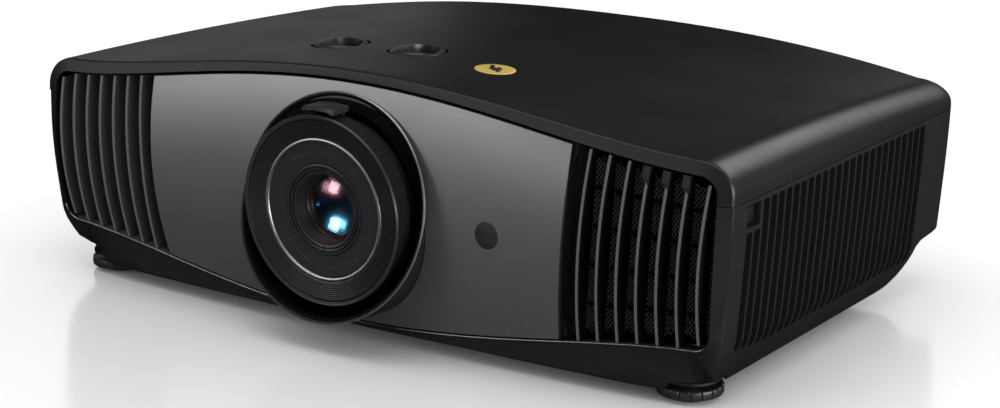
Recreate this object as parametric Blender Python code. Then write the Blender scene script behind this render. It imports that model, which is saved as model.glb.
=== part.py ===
"""Home projector: curved black case, grey front panel, shifting zoom lens, louvred vents and screw feet."""
import math

import bmesh
import bpy
from mathutils import Vector

# ---------------------------------------------------------------- driving dimensions, in metres
HALF_WIDTH = 0.2472          # half of the case width at the parting line
PART_Z = 0.1166              # height of the parting line between cover and lower case
GAP = 0.0004                 # clearance between touching pieces
SKIN = 0.0025                # wall thickness of the case mouldings

FRONT_Y = -0.1368            # front edge of the case on the centre line
FRONT_BOW = 0.1226           # plan curvature of the front, y = FRONT_Y + FRONT_BOW * x^2
PANEL_BULGE = 0.0078         # how far the front panel swells forward at mid height
POST_BULGE = 0.0040          # the same for the posts at the ends of the opening
ARCH_X = 0.2416              # where the roof arch becomes level
ROOF_Z = 0.1604              # roof height on the centre line, at the front
ROOF_DROP = 0.0218           # roof drop from centre to side, at the front
ROOF_DROP_REAR = 0.0165      # the same at the back, reached at REAR_ARCH_X
REAR_ARCH_X = 0.2239
ROOF_SINK = 0.0131           # how much lower the centre line lies at the back than at the front
OPEN_TOP = 0.1554            # top of the front opening on the centre line
OPEN_TOP_DROP = 0.0245
OPEN_BOTTOM = 0.0115         # bottom of the front opening on the centre line
OPEN_BOTTOM_RISE = 0.0235
OPEN_HALF = 0.2390           # half width of the opening at the top of its ends
TOP_CORNER = 0.0115          # opening corner radius, upper
LOW_CORNER = 0.0110          # opening corner radius, lower
BASE_Z = 0.0081              # underside of the case
SEAM_Y = 0.0475              # seam between front and rear roof shells
REAR_Y = 0.165               # rear face
REAR_ROUND = 0.024           # plan radius of the rear corners
REAR_EDGE_R = 0.007          # rounding between roof and rear face
CENTRE_SHIFT = 0.00225       # moves the middle of the footprint onto the origin at the end

LENS_Z = 0.0833              # height of the optical axis
LIP_Y = -0.1633              # front lip of the lens
FOCUS_R = 0.0558             # focus ring radius at the lip
RIM_R = 0.0659               # rim of the lens surround
RIM_Y = -0.1545
RIM_TILT = math.radians(13.4)
NECK_R = 0.0600              # where the surround passes through the front panel
NECK_DROP = 0.0078           # its centre below the optical axis
NECK_TOP = 0.0650            # its upper half is taller

BLADE_TOP_X, BLADE_LOW_X = 0.2335, 0.2289       # outermost louvre, upper and lower end
BLADE_TOP_PITCH, BLADE_LOW_PITCH = 0.0118, 0.0122
BLADE_COUNT = 7
BLADE_W = 0.0023
BLADE_BULGE = 0.0066

SLOT_FIRST_Y = -0.0920       # first full-height side slot
SLOT_PITCH = 0.0086
SLOT_COUNT = 24
SLOT_W = 0.0066
SLOT_TOP, SLOT_LOW = 0.1138, 0.0276

DIAL_Y = -0.0645
DIAL_X = (-0.0612, -0.0030)  # horizontal shift dial, vertical shift dial
DIAL_R = 0.0166
EMBLEM_X, EMBLEM_Y, EMBLEM_R = 0.0597, -0.0740, 0.0121

FOOT_X, FOOT_Y, FOOT_R = 0.2118, -0.1071, 0.0186
FOOT_DISC = (0.0024, 0.0080)
FOOT_WELL_R = 0.0195         # recess in the underside above each front foot
FOOT_WELL_Z = (0.0125, 0.0150)

KEY_Y, KEY_Z = 0.092, 0.080  # centre of the key pad on the left side

ROUND_X = 0.020              # width of the rounding between roof and sides
REAR_WRAP = 0.55             # share of the rear roof height that the cover keeps on the rear face
TRAY_EDGE_X = 0.2210         # side edge of the tray, where the side panels take over
NECK_STEPS = 48              # facets round the neck of the lens surround

# height of the underside along the case: level, a short steep wall, then the rear overhang
UNDER = [(-0.09, BASE_Z), (0.098, BASE_Z), (0.106, 0.0096), (0.1120, 0.0160), (0.1150, 0.0250),
         (0.1180, 0.0345), (0.1230, 0.0372), (0.1390, 0.0386), (0.1530, 0.0400), (0.1618, 0.0416),
         (REAR_Y, 0.0440)]


# ---------------------------------------------------------------- materials and mesh helpers
def clear_scene():
    for item in list(bpy.data.objects):
        bpy.data.objects.remove(item, do_unlink=True)


MATERIALS = {}


def material(name, rgb, metallic=0.0, roughness=0.5):
    if name not in MATERIALS:
        mat = bpy.data.materials.new(name)
        mat.use_nodes = True
        shader = mat.node_tree.nodes["Principled BSDF"]
        shader.inputs["Base Color"].default_value = (*rgb, 1.0)
        shader.inputs["Metallic"].default_value = metallic
        shader.inputs["Roughness"].default_value = roughness
        MATERIALS[name] = mat
    return MATERIALS[name]


def black():
    return material("black_plastic", (0.020, 0.020, 0.022), 0.0, 0.42)


def dark():
    return material("dark_plastic", (0.012, 0.012, 0.013), 0.0, 0.60)


def grey_metal():
    return material("panel_grey", (0.30, 0.30, 0.31), 0.8, 0.38)


def steel():
    return material("steel", (0.55, 0.56, 0.58), 1.0, 0.30)


def board_green():
    return material("board", (0.02, 0.16, 0.07), 0.0, 0.50)


def rubber():
    return material("rubber", (0.015, 0.015, 0.015), 0.0, 0.85)


def glass():
    return material("glass", (0.55, 0.62, 0.75), 0.0, 0.03)


def gold():
    return material("gold", (0.80, 0.62, 0.16), 1.0, 0.35)


def make(name, verts, faces, mat, smooth=35.0, origin=(0.0, 0.0, 0.0)):
    """Mesh object from world positions, stored about its own origin."""
    base = Vector(origin)
    mesh = bpy.data.meshes.new(name)
    mesh.from_pydata([Vector(v) - base for v in verts], [], faces)
    mesh.validate()
    obj = bpy.data.objects.new(name, mesh)
    obj.location = base
    bpy.context.scene.collection.objects.link(obj)
    work = bmesh.new()
    work.from_mesh(mesh)
    bmesh.ops.remove_doubles(work, verts=work.verts, dist=1e-7)
    bmesh.ops.recalc_face_normals(work, faces=work.faces)
    work.to_mesh(mesh)
    work.free()
    mesh.materials.append(mat)
    if smooth:
        for poly in mesh.polygons:
            poly.use_smooth = True
        mesh.set_sharp_from_angle(angle=math.radians(smooth))
    return obj


def grid_normals(grid):
    rows, cols = len(grid), len(grid[0])
    pts = [[Vector(p) for p in row] for row in grid]
    out = []
    for i in range(rows):
        line = []
        for j in range(cols):
            total = Vector((0.0, 0.0, 0.0))
            for a, b in ((-1, -1), (-1, 0), (0, -1), (0, 0)):
                r, c = i + a, j + b
                if 0 <= r < rows - 1 and 0 <= c < cols - 1:
                    d1 = pts[r + 1][c + 1] - pts[r][c]
                    d2 = pts[r][c + 1] - pts[r + 1][c]
                    n = d1.cross(d2)
                    if n.length > 1e-12:
                        total += n.normalized()
            line.append(total.normalized())
        out.append(line)
    return out


def slab(name, front, back, mat, keep=None, smooth=35.0, split=False):
    """Closed solid between two equal grids of points; keep(i, j) False leaves a hole."""
    rows, cols = len(front), len(front[0])
    verts = [p for row in front for p in row] + [p for row in back for p in row]
    shift = rows * cols

    def has(i, j):
        if not (0 <= i < rows - 1 and 0 <= j < cols - 1):
            return False
        return keep is None or keep(i, j)

    faces = []
    for i in range(rows - 1):
        for j in range(cols - 1):
            if not has(i, j):
                continue
            a, b = i * cols + j, i * cols + j + 1
            c, d = (i + 1) * cols + j + 1, (i + 1) * cols + j
            if split:
                faces.append((a, b, c))
                faces.append((a, c, d))
                faces.append((c + shift, b + shift, a + shift))
                faces.append((d + shift, c + shift, a + shift))
            else:
                faces.append((a, b, c, d))
                faces.append((d + shift, c + shift, b + shift, a + shift))
            if not has(i - 1, j):
                faces.append((b, a, a + shift, b + shift))
            if not has(i + 1, j):
                faces.append((d, c, c + shift, d + shift))
            if not has(i, j - 1):
                faces.append((a, d, d + shift, a + shift))
            if not has(i, j + 1):
                faces.append((c, b, b + shift, c + shift))
    return make(name, verts, faces, mat, smooth)


def sheet(name, grid, thick, mat, inward, keep=None, smooth=35.0, split=False):
    """Moulded wall: the grid is the outer skin and the inner skin lies `thick` behind it."""
    normals = grid_normals(grid)
    mid_i, mid_j = len(grid) // 2, len(grid[0]) // 2
    sign = 1.0 if normals[mid_i][mid_j].dot(Vector(inward)) > 0 else -1.0
    back = []
    for row, line in zip(grid, normals):
        back.append([Vector(p) + n * thick * sign for p, n in zip(row, line)])
    return slab(name, grid, back, mat, keep, smooth, split)


def box(name, low, high, mat, origin=None):
    x0, y0, z0 = low
    x1, y1, z1 = high
    verts = [(x, y, z) for x in (x0, x1) for y in (y0, y1) for z in (z0, z1)]
    faces = [(0, 1, 3, 2), (4, 6, 7, 5), (0, 4, 5, 1), (2, 3, 7, 6), (0, 2, 6, 4), (1, 5, 7, 3)]
    place = origin or (0.0, 0.0, 0.0)
    return make(name, verts, faces, mat, 0.0, place)


def axis_frame(axis):
    if axis == "Y":
        return Vector((1, 0, 0)), Vector((0, 0, 1)), Vector((0, 1, 0))
    if axis == "X":
        return Vector((0, 1, 0)), Vector((0, 0, 1)), Vector((1, 0, 0))
    return Vector((1, 0, 0)), Vector((0, 1, 0)), Vector((0, 0, 1))


def turned(name, profile, centre, axis, mat, steps=40, ripple=None, smooth=35.0):
    """Revolve a closed profile of (radius, distance along axis) about a line through centre."""
    u, v, w = axis_frame(axis)
    base = Vector(centre)
    rings = []
    verts = []
    for k, (radius, along) in enumerate(profile):
        if radius < 1e-9:
            rings.append([len(verts)])
            verts.append(base + w * along)
            continue
        ring = []
        for s in range(steps):
            ang = 2 * math.pi * s / steps
            r = radius + (ripple(k, s) if ripple else 0.0)
            ring.append(len(verts))
            verts.append(base + u * r * math.cos(ang) + v * r * math.sin(ang) + w * along)
        rings.append(ring)
    faces = []
    count = len(rings)
    for k in range(count):
        a, b = rings[k], rings[(k + 1) % count]
        if len(a) == 1 and len(b) == 1:
            continue
        for s in range(steps):
            t = (s + 1) % steps
            if len(a) == 1:
                faces.append((a[0], b[s], b[t]))
            elif len(b) == 1:
                faces.append((a[s], b[0], a[t]))
            else:
                faces.append((a[s], b[s], b[t], a[t]))
    return make(name, verts, faces, mat, smooth, centre)


def join_shapes(name, shapes, mat):
    """One mesh object out of several closed shapes that do not touch each other."""
    verts, faces = [], []
    for obj in shapes:
        start = len(verts)
        verts += [obj.location + v.co for v in obj.data.vertices]
        faces += [tuple(start + i for i in p.vertices) for p in obj.data.polygons]
        bpy.data.objects.remove(obj, do_unlink=True)
    return make(name, verts, faces, mat, 0.0)


def combine(target, tool, mode):
    mod = target.modifiers.new("bool_" + tool.name, "BOOLEAN")
    mod.operation = mode
    mod.solver = "EXACT"
    mod.object = tool
    tool.hide_render = True
    tool.display_type = "WIRE"
    return target


def cut(target, tool):
    return combine(target, tool, "DIFFERENCE")


def fuse(target, tool):
    return combine(target, tool, "UNION")


# ---------------------------------------------------------------- case curves
def arch(x):
    u = min(abs(x) / ARCH_X, 1.0)
    return 2 * u * u - u ** 4


def front_y(x):
    return FRONT_Y + FRONT_BOW * x * x


def roof_z(x, y):
    """Roof height: a flat-topped arch at the front that changes to a rounder one at the back."""
    t = min(max((y + 0.135) / 0.292, 0.0), 1.03)
    centre = ROOF_Z - ROOF_SINK * (0.2 * t + 0.8 * t * t)
    rear_drop = ROOF_DROP_REAR * (abs(x) / REAR_ARCH_X) ** 2.37
    return centre - (1 - t) * ROOF_DROP * arch(x) - t * rear_drop


def open_top(x):
    return OPEN_TOP - OPEN_TOP_DROP * arch(x)


def open_bottom(x):
    return OPEN_BOTTOM + OPEN_BOTTOM_RISE * arch(x)


def swell(x, z, amount):
    """Forward swell of the front at height z, zero at both edges of the opening."""
    lo, hi = open_bottom(x), open_top(x)
    s = min(max((z - lo) / (hi - lo), 0.0), 1.0)
    return amount * 4 * s * (1 - s)


def side_x(z):
    """Half width of the case at height z: upright above, tucked in below."""
    taper = 0.0052 * (min(max(PART_Z - z, 0.0), 0.078) / 0.078) ** 1.35
    tuck = 0.0156 * (min(max(0.0386 - z, 0.0), 0.0305) / 0.0305) ** 1.5
    return HALF_WIDTH - taper - tuck


def post_edge(z):
    """Half width of the front opening at height z."""
    return OPEN_HALF - 0.0035 * (max(0.0966 - z, 0.0) / 0.058) ** 1.6


def under_z(y):
    for (y0, z0), (y1, z1) in zip(UNDER, UNDER[1:]):
        if y <= y1:
            s = max((y - y0) / (y1 - y0), 0.0)
            return z0 + (z1 - z0) * s
    return UNDER[-1][1]


def under_inward(k):
    """Offset (y, z) from the underside at station k to the inner skin."""
    y0, z0 = UNDER[k - 1]
    y1, z1 = UNDER[min(k + 1, len(UNDER) - 1)]
    if k == len(UNDER) - 1:
        return -SKIN, 0.0008
    length = math.hypot(y1 - y0, z1 - z0)
    return -SKIN * (z1 - z0) / length, SKIN * (y1 - y0) / length


def base_front_y(x):
    extra = max(abs(x) - 0.12, 0.0) / 0.1067
    return -0.1348 + FRONT_BOW * x * x + 0.0190 * extra ** 9


def rear_inset(y):
    s = min(max((y - (REAR_Y - REAR_ROUND)) / REAR_ROUND, 0.0), 1.0)
    return REAR_ROUND * (1 - math.sqrt(1 - s * s))


# ---------------------------------------------------------------- roof shells
def roof_columns():
    """Half section as markers: side heights, corner angles, then roof positions to the centre."""
    cols = [("side", 0.0), ("side", 0.25)]
    cols += [("corner", math.radians(a)) for a in (30.0, 60.0, 90.0)]
    cols += [("roof", x) for x in (0.200, 0.165, 0.130, 0.095, 0.062, 0.030, 0.0)]
    return cols


def roof_point(col, y, low):
    kind, value = col
    edge_x = HALF_WIDTH - ROUND_X
    top = roof_z(edge_x, y)
    start = low + 0.18 * (top - low)
    if kind == "side":
        return HALF_WIDTH, low + (start - low) * value * 4 * 0.5
    if kind == "corner":
        return edge_x + ROUND_X * math.cos(value), start + (top - start) * math.sin(value)
    return value, roof_z(value, y)


def frame_point(col, low):
    kind, value = col
    edge_x = OPEN_HALF
    mid_x = edge_x - TOP_CORNER
    top = open_top(mid_x)
    start = top - TOP_CORNER
    if kind == "side":
        return edge_x, low + (start - low) * value * 2
    if kind == "corner":
        return mid_x + TOP_CORNER * math.cos(value), start + TOP_CORNER * math.sin(value)
    return value, open_top(value)


def mirror_row(half):
    """Full row from the left end to the right end out of a right half ending at x = 0."""
    left = [(-x, y, z) for x, y, z in half]
    return left + half[-2::-1]


def roof_front():
    low = PART_Z + GAP
    cols = roof_columns()
    rows = []
    half = []
    for col in cols:
        x, z = frame_point(col, low)
        half.append((x, front_y(x) - swell(x, z, POST_BULGE), z))
    rows.append(mirror_row(half))
    half = []
    for col in cols:
        x, z = roof_point(col, -0.135, low)
        x = min(x, HALF_WIDTH - 0.0006)
        half.append((x, front_y(x) - swell(x, z, POST_BULGE) + 0.0018, z - 0.0002))
    rows.append(mirror_row(half))
    half = []
    for col in cols:
        x, z = roof_point(col, -0.128, low)
        half.append((x, front_y(x) + 0.0058, z + 0.0001))
    rows.append(mirror_row(half))
    for y in (-0.095, -0.040, 0.005, SEAM_Y - GAP):
        half = []
        for col in cols:
            x, z = roof_point(col, y, low)
            half.append((x, y, z))
        rows.append(mirror_row(half))
    return sheet("top_cover_front", rows, SKIN, black(), (0, 0, -1), split=True)


def roof_rear():
    low = PART_Z + GAP
    cols = roof_columns()
    rows = []
    for y in (SEAM_Y + GAP, 0.100, REAR_Y - REAR_ROUND):
        rows.append(mirror_row([(x, y, z) for x, z in (roof_point(c, y, low) for c in cols)]))
    for deg in (30.0, 50.0, 65.0, 77.0, 90.0):
        ang = math.radians(deg)
        y = REAR_Y - REAR_ROUND * (1 - math.sin(ang))
        shrink = 1 - REAR_ROUND * (1 - math.cos(ang)) / HALF_WIDTH
        keep = 1 - rear_edge_drop(y) / (roof_z(0.0, y) - low)
        half = [(x * shrink, y, low + (z - low) * keep) for x, z in (roof_point(c, y, low) for c in cols)]
        rows.append(mirror_row(half))
    hem = []
    for x, y, z in rows[-1]:
        inward = 0.994 if abs(x) > 0.20 else 1.0
        hem.append((x * inward, y, low + (z - low) * REAR_WRAP))
    rows.append(hem)
    return sheet("top_cover_rear", rows, SKIN, black(), (0, 0, -1), split=True)


def rear_edge_drop(y):
    """Drop of the roof where it rounds over into the rear face."""
    s = min(max(y - (REAR_Y - REAR_EDGE_R), 0.0) / REAR_EDGE_R, 1.0)
    return REAR_EDGE_R * (1 - math.sqrt(1 - s * s))


def rear_top(x):
    """Lower edge of the cover on the rear face."""
    low = PART_Z + GAP
    keep = 1 - REAR_EDGE_R / (roof_z(0.0, REAR_Y) - low)
    shrink = 0.994 * (1 - REAR_ROUND / HALF_WIDTH)
    edge = []
    for col in roof_columns():
        cx, cz = roof_point(col, REAR_Y, low)
        edge.append((cx * shrink, low + (cz - low) * keep * REAR_WRAP))
    for (x1, z1), (x0, z0) in zip(edge, edge[1:]):
        if x0 <= abs(x) < x1:
            return z0 + (z1 - z0) * (abs(x) - x0) / (x1 - x0)
    return PART_Z if abs(x) >= edge[0][0] else edge[-1][1]


# ---------------------------------------------------------------- lower case
LOW_ANGLES = (0.0, 30.0, 60.0, 90.0)
SIDE_LEVELS = (0.056, 0.076, 0.0966)
CORNER_LEVELS = (None, 0.0165, 0.0265, 0.0380)


def opening_low_corner():
    edge = post_edge(0.047)
    mid = edge - LOW_CORNER
    return mid, open_bottom(mid) + LOW_CORNER


def side_rows():
    """Outer skin of one side of the lower case, right-hand side, seam first."""
    top = PART_Z - GAP
    seam_x = 0.2222
    mid, cz = opening_low_corner()
    opening = [(seam_x, open_bottom(seam_x))]
    outward = [(0.0, -1.0)]
    for deg in LOW_ANGLES:
        ang = math.radians(deg)
        opening.append((mid + LOW_CORNER * math.sin(ang), cz - LOW_CORNER * math.cos(ang)))
        outward.append((math.sin(ang), -math.cos(ang)))
    for z in (*SIDE_LEVELS, top):
        opening.append((post_edge(z), z))
        outward.append((1.0, 0.0))
    widths = [0.0022, 0.0024, 0.0040, 0.0056, 0.0059, 0.0061, 0.0069, 0.0074, 0.0076]
    first = []
    second = []
    for (x, z), (nx, nz), w in zip(opening, outward, widths):
        first.append((x, front_y(x) - swell(x, z, POST_BULGE), z))
        x2, z2 = x + nx * w, z + nz * w
        second.append((x2, front_y(x2) - swell(x2, z, POST_BULGE) + 0.0018, z2))
    third_y = [base_front_y(seam_x), -0.1065, -0.1130, -0.1195, -0.1243]
    third = [(seam_x, third_y[0], BASE_Z), (side_x(BASE_Z), third_y[1], BASE_Z)]
    for z, y in zip(CORNER_LEVELS[1:], third_y[2:]):
        third.append((side_x(z), y, z))
    for z in (*SIDE_LEVELS, top):
        third.append((side_x(z), front_y(HALF_WIDTH) + 0.0052, z))
    rows = [first, second, third]
    for y in (-0.0835, -0.030, 0.030, *(y for y, z in UNDER[1:])):
        low = under_z(y)
        inset = rear_inset(y)
        ratio = (low - BASE_Z) / 0.036
        line = [(side_x(low) - inset - 0.0045, y, low), (side_x(low) - inset, y, low)]
        for z in CORNER_LEVELS[1:]:
            zz = z + (low - BASE_Z) * (1 - (z - BASE_Z) / 0.06)
            line.append((side_x(zz) - inset, y, zz))
        for z in (*SIDE_LEVELS, top):
            zz = max(z, z * (1 - ratio) + (low + 0.026 + (z - 0.056) * 0.7) * ratio)
            line.append((side_x(min(zz, top)) - inset, y, min(zz, top)))
        rows.append(line)
    return rows


def slot_low(y):
    """Lower end of a side slot, a little higher near the front corner."""
    return SLOT_LOW + 0.0045 * min(max((-0.075 - y) / 0.035, 0.0), 1.0)


def side_panel(side):
    name = "side_panel_right" if side > 0 else "side_panel_left"
    rows = [[(x * side, y, z) for x, y, z in row] for row in side_rows()]
    obj = sheet(name, rows, SKIN, black(), (-side, 0, 0))
    cutters = []
    last = SLOT_COUNT if side > 0 else 15
    for k in range(last):
        y = SLOT_FIRST_Y + k * SLOT_PITCH
        cutters.append(box("slot", (0.21 * side, y - SLOT_W / 2, slot_low(y)),
                           (0.262 * side, y + SLOT_W / 2, SLOT_TOP), dark()))
    if side > 0:
        for k in (1, 2):
            y = SLOT_FIRST_Y - k * SLOT_PITCH
            cutters.append(box("slot", (0.21, y - SLOT_W / 2, slot_low(y)),
                               (0.262, y + SLOT_W / 2, 0.0985), dark()))
        cutters.append(box("slot", (0.2437, -0.1130, 0.1012), (0.262, -0.0985, SLOT_TOP), dark()))
    else:
        cutters.append(box("slot", (-0.262, KEY_Y - 0.0304, KEY_Z - 0.0204),
                           (-0.21, KEY_Y + 0.0304, KEY_Z + 0.0204), dark()))
    cutters.append(foot_well(side))
    tool = join_shapes(name + "_slots", cutters, dark())
    return cut(obj, tool)


def foot_well(side):
    low, ceiling = -0.0050, FOOT_WELL_Z[0]
    return turned("foot_well", [(0.0, low), (FOOT_WELL_R, low), (FOOT_WELL_R, ceiling), (0.0, ceiling)],
                  (side * FOOT_X, FOOT_Y, 0.0), "Z", dark(), 36)


def prism(name, outline, z0, z1, mat):
    """Upright closed prism over an outline of (x, y) points."""
    count = len(outline)
    verts = [(x, y, z) for z in (z0, z1) for x, y in outline]
    faces = [tuple(range(count)), tuple(range(count, 2 * count))]
    faces += [(k, (k + 1) % count, count + (k + 1) % count, count + k) for k in range(count)]
    return make(name, verts, faces, mat, 0.0)


def foot_boss(side):
    """Thickening of the tray that closes the recess over a front foot."""
    outline = [(side * x, base_front_y(x) + 0.0012) for x in (0.188, 0.197, 0.206, 0.213, TRAY_EDGE_X)]
    outline += [(side * TRAY_EDGE_X, -0.0862), (side * 0.188, -0.0862)]
    return prism("foot_boss", outline, BASE_Z + 0.0002, FOOT_WELL_Z[1], dark())


def base_tray():
    xs = [0.0, 0.04, 0.08, 0.12, 0.155, 0.18, 0.197, 0.206, 0.213, TRAY_EDGE_X]
    outer, inner = [], []
    floor = BASE_Z + SKIN

    def add(fn, target):
        half = [fn(x) for x in xs]
        target.append([(-x, y, z) for x, y, z in half[:0:-1]] + half)

    def lip_inner(x):
        return x, front_y(x) + 0.0030, max(open_bottom(x) - 0.0014, floor + 0.0002)

    def chin_inner(x):
        return x, max(base_front_y(x) + 0.0020, front_y(x) + 0.0037), floor

    add(lambda x: (x, front_y(x), open_bottom(x)), outer)
    add(lambda x: (x, front_y(x) + 0.0018, open_bottom(x) - 0.0022), outer)
    add(lambda x: (x, base_front_y(x), BASE_Z), outer)
    add(lambda x: (x, -0.0835, BASE_Z), outer)
    add(lambda x: (x, front_y(x) + 0.0025, open_bottom(x)), inner)
    add(lip_inner, inner)
    add(chin_inner, inner)
    add(lambda x: (x, -0.0820, floor), inner)
    for k in range(1, len(UNDER)):
        y, z = UNDER[k]
        scale = (side_x(z) - rear_inset(y) - 0.0045 - 0.0012) / xs[-1]
        into_y, into_z = under_inward(k)
        add(lambda x, y=y, z=z, scale=scale: (x * scale, y, z), outer)
        add(lambda x, y=y + into_y, z=z + into_z, scale=scale: (x * scale, y, z), inner)
    add(lambda x: (x * scale, REAR_Y, 0.0456), outer)
    add(lambda x: (x * scale, REAR_Y - 0.0025, 0.0456), inner)
    tray = slab("base_tray", outer, inner, black(), split=True)
    fuse(tray, join_shapes("foot_bosses", [foot_boss(side) for side in (-1, 1)], dark()))
    cut(tray, join_shapes("tray_wells", [foot_well(side) for side in (-1, 1)], dark()))
    holes = []
    for side in (-1, 1):
        holes.append(turned("hole", [(0.0, 0.0), (0.0062, 0.0), (0.0062, 0.02), (0.0, 0.02)],
                            (side * FOOT_X, FOOT_Y, 0.0), "Z", dark(), 16))
    return cut(tray, join_shapes("tray_holes", holes, dark()))


def rear_panel():
    low = 0.0456 + 0.0008
    rows = []
    for s in (0.0, 0.25, 0.5, 0.75, 1.0):
        limit = side_x(low + (PART_Z - low) * s) - REAR_ROUND - 0.0008
        line = []
        for k in range(-8, 9):
            x = limit * k / 8
            line.append((x, REAR_Y, low + (rear_top(x) - 0.0010 - low) * s))
        rows.append(line)
    back = [[(x, y - SKIN, z) for x, y, z in row] for row in rows]
    obj = slab("rear_panel", rows, back, black())
    holes = [box("hole", (-0.0604, 0.15, 0.0596), (0.1404, 0.18, 0.0904), dark()),
             box("hole", (-0.1704, 0.15, 0.0596), (-0.1396, 0.18, 0.0824), dark())]
    return cut(obj, join_shapes("rear_holes", holes, dark()))


# ---------------------------------------------------------------- front panel, grilles and filters
def panel_edge(s):
    return 0.1511 - 0.0070 * (1 - s) ** 2


def front_panel():
    rows = []
    for i in range(8):
        s = i / 7
        line = []
        for k in range(-8, 9):
            x = panel_edge(s) * k / 8
            lo, hi = open_bottom(x) + 0.0010, open_top(x) - 0.0016
            z = lo + (hi - lo) * s
            line.append((x, front_y(x) + 0.0004 - PANEL_BULGE * 4 * s * (1 - s), z))
        rows.append(line)
    obj = sheet("front_panel", rows, 0.0022, grey_metal(), (0, 1, 0), smooth=50.0)
    tools = [neck_prism(-0.0006),
             turned("hole", [(0.0, -0.03), (0.0083, -0.03), (0.0083, 0.03), (0.0, 0.03)],
                    (0.1012, -0.14, 0.0809), "Y", dark(), 24)]
    return cut(obj, join_shapes("panel_holes", tools, dark()))


def panel_y(x, z):
    return front_y(x) + 0.0004 - swell(x, z, PANEL_BULGE)


def neck_ring(inset):
    """Points (x, z) round the neck of the lens surround, moved inwards by inset."""
    ring = []
    for s in range(NECK_STEPS):
        ang = 2 * math.pi * s / NECK_STEPS
        tall = NECK_TOP if math.sin(ang) > 0 else NECK_R
        ring.append(((NECK_R - inset) * math.cos(ang),
                     LENS_Z - NECK_DROP + (tall - inset) * math.sin(ang)))
    return ring


def neck_prism(inset):
    ring = neck_ring(inset)
    verts = [(x, y, z) for y in (-0.17, -0.11) for x, z in ring]
    faces = [tuple(range(NECK_STEPS)), tuple(range(NECK_STEPS, 2 * NECK_STEPS))]
    for s in range(NECK_STEPS):
        t = (s + 1) % NECK_STEPS
        faces.append((s, t, NECK_STEPS + t, NECK_STEPS + s))
    return make("hole", verts, faces, dark(), 0.0)


def blade_x(k, s):
    top = BLADE_TOP_X - k * BLADE_TOP_PITCH
    low = BLADE_LOW_X - k * BLADE_LOW_PITCH
    return low + (top - low) * s


def blade(side, k, rows=9):
    front, back = [], []
    for i in range(rows):
        s = i / (rows - 1)
        x = blade_x(k, s)
        lo, hi = open_bottom(x) + 0.0008, open_top(x) - 0.0012
        if k == 0:
            hi -= 0.0030
            lo += 0.0026
        z = lo + (hi - lo) * s
        y = front_y(x) + 0.0006 - BLADE_BULGE * 4 * s * (1 - s)
        front.append([(side * (x - BLADE_W / 2), y, z), (side * (x + BLADE_W / 2), y, z)])
        deep = front_y(x) + 0.0135
        back.append([(side * (x - BLADE_W / 2), deep, z), (side * (x + BLADE_W / 2), deep, z)])
    return slab("blade", front, back, dark())


def grille(side):
    name = "grille_right" if side > 0 else "grille_left"
    xs = [0.1522, 0.1545, 0.170, 0.190, 0.210, 0.2355, 0.2378]
    front, back = [], []
    for i in range(6):
        line_f, line_b = [], []
        for x in xs:
            lo, hi = open_bottom(x) + 0.0006, open_top(x) - 0.0010
            shift = 0.0 if x > 0.16 else -0.0058 * ((4 - i) / 4 if i < 5 else 0.0) ** 2
            z = (lo, lo + 0.0030, lo + (hi - lo) * 0.35, lo + (hi - lo) * 0.7, hi - 0.0030, hi)[i]
            y = front_y(x) + 0.0062
            line_f.append((side * (x + shift), y, z))
            line_b.append((side * (x + shift), y + 0.0060, z))
        front.append(line_f)
        back.append(line_b)
    frame = slab(name, front, back, dark(), keep=lambda i, j: i in (0, 4) or j in (0, 5))
    blades = join_shapes(name + "_blades", [blade(side, k) for k in range(BLADE_COUNT)], dark())
    return fuse(frame, blades)


def filter_frame(side):
    name = "filter_frame_right" if side > 0 else "filter_frame_left"
    half_gap = 0.0042
    front, back = [], []
    levels = [0.0]
    for r in range(4):
        levels += [0.035 + r * 0.24, 0.035 + r * 0.24 + 0.205]
    levels.append(1.0)
    for s in levels:
        line_f, line_b = [], []
        edges = [0.1535]
        for k in range(BLADE_COUNT - 1, 0, -1):
            mid = (blade_x(k, s) + blade_x(k - 1, s)) / 2
            edges += [mid - half_gap, mid + half_gap]
        edges.append(0.2365)
        for x in edges:
            lo, hi = open_bottom(x) + 0.0040, open_top(x) - 0.0045
            z = lo + (hi - lo) * s
            line_f.append((side * x, front_y(x) + 0.0180, z))
            line_b.append((side * x, front_y(x) + 0.0205, z))
        front.append(line_f)
        back.append(line_b)
    return slab(name, front, back, dark(), keep=lambda i, j: not (i % 2 == 1 and j % 2 == 1))


# ---------------------------------------------------------------- lens surround and lens
def rim_ring(radius, behind):
    """Circle in the tilted plane of the surround's rim, or the given distance behind that plane."""
    ring = []
    for s in range(NECK_STEPS):
        ang = 2 * math.pi * s / NECK_STEPS
        up = radius * math.sin(ang)
        ring.append((radius * math.cos(ang), RIM_Y + up * math.sin(RIM_TILT) + behind,
                     LENS_Z + up * math.cos(RIM_TILT)))
    return ring


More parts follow.
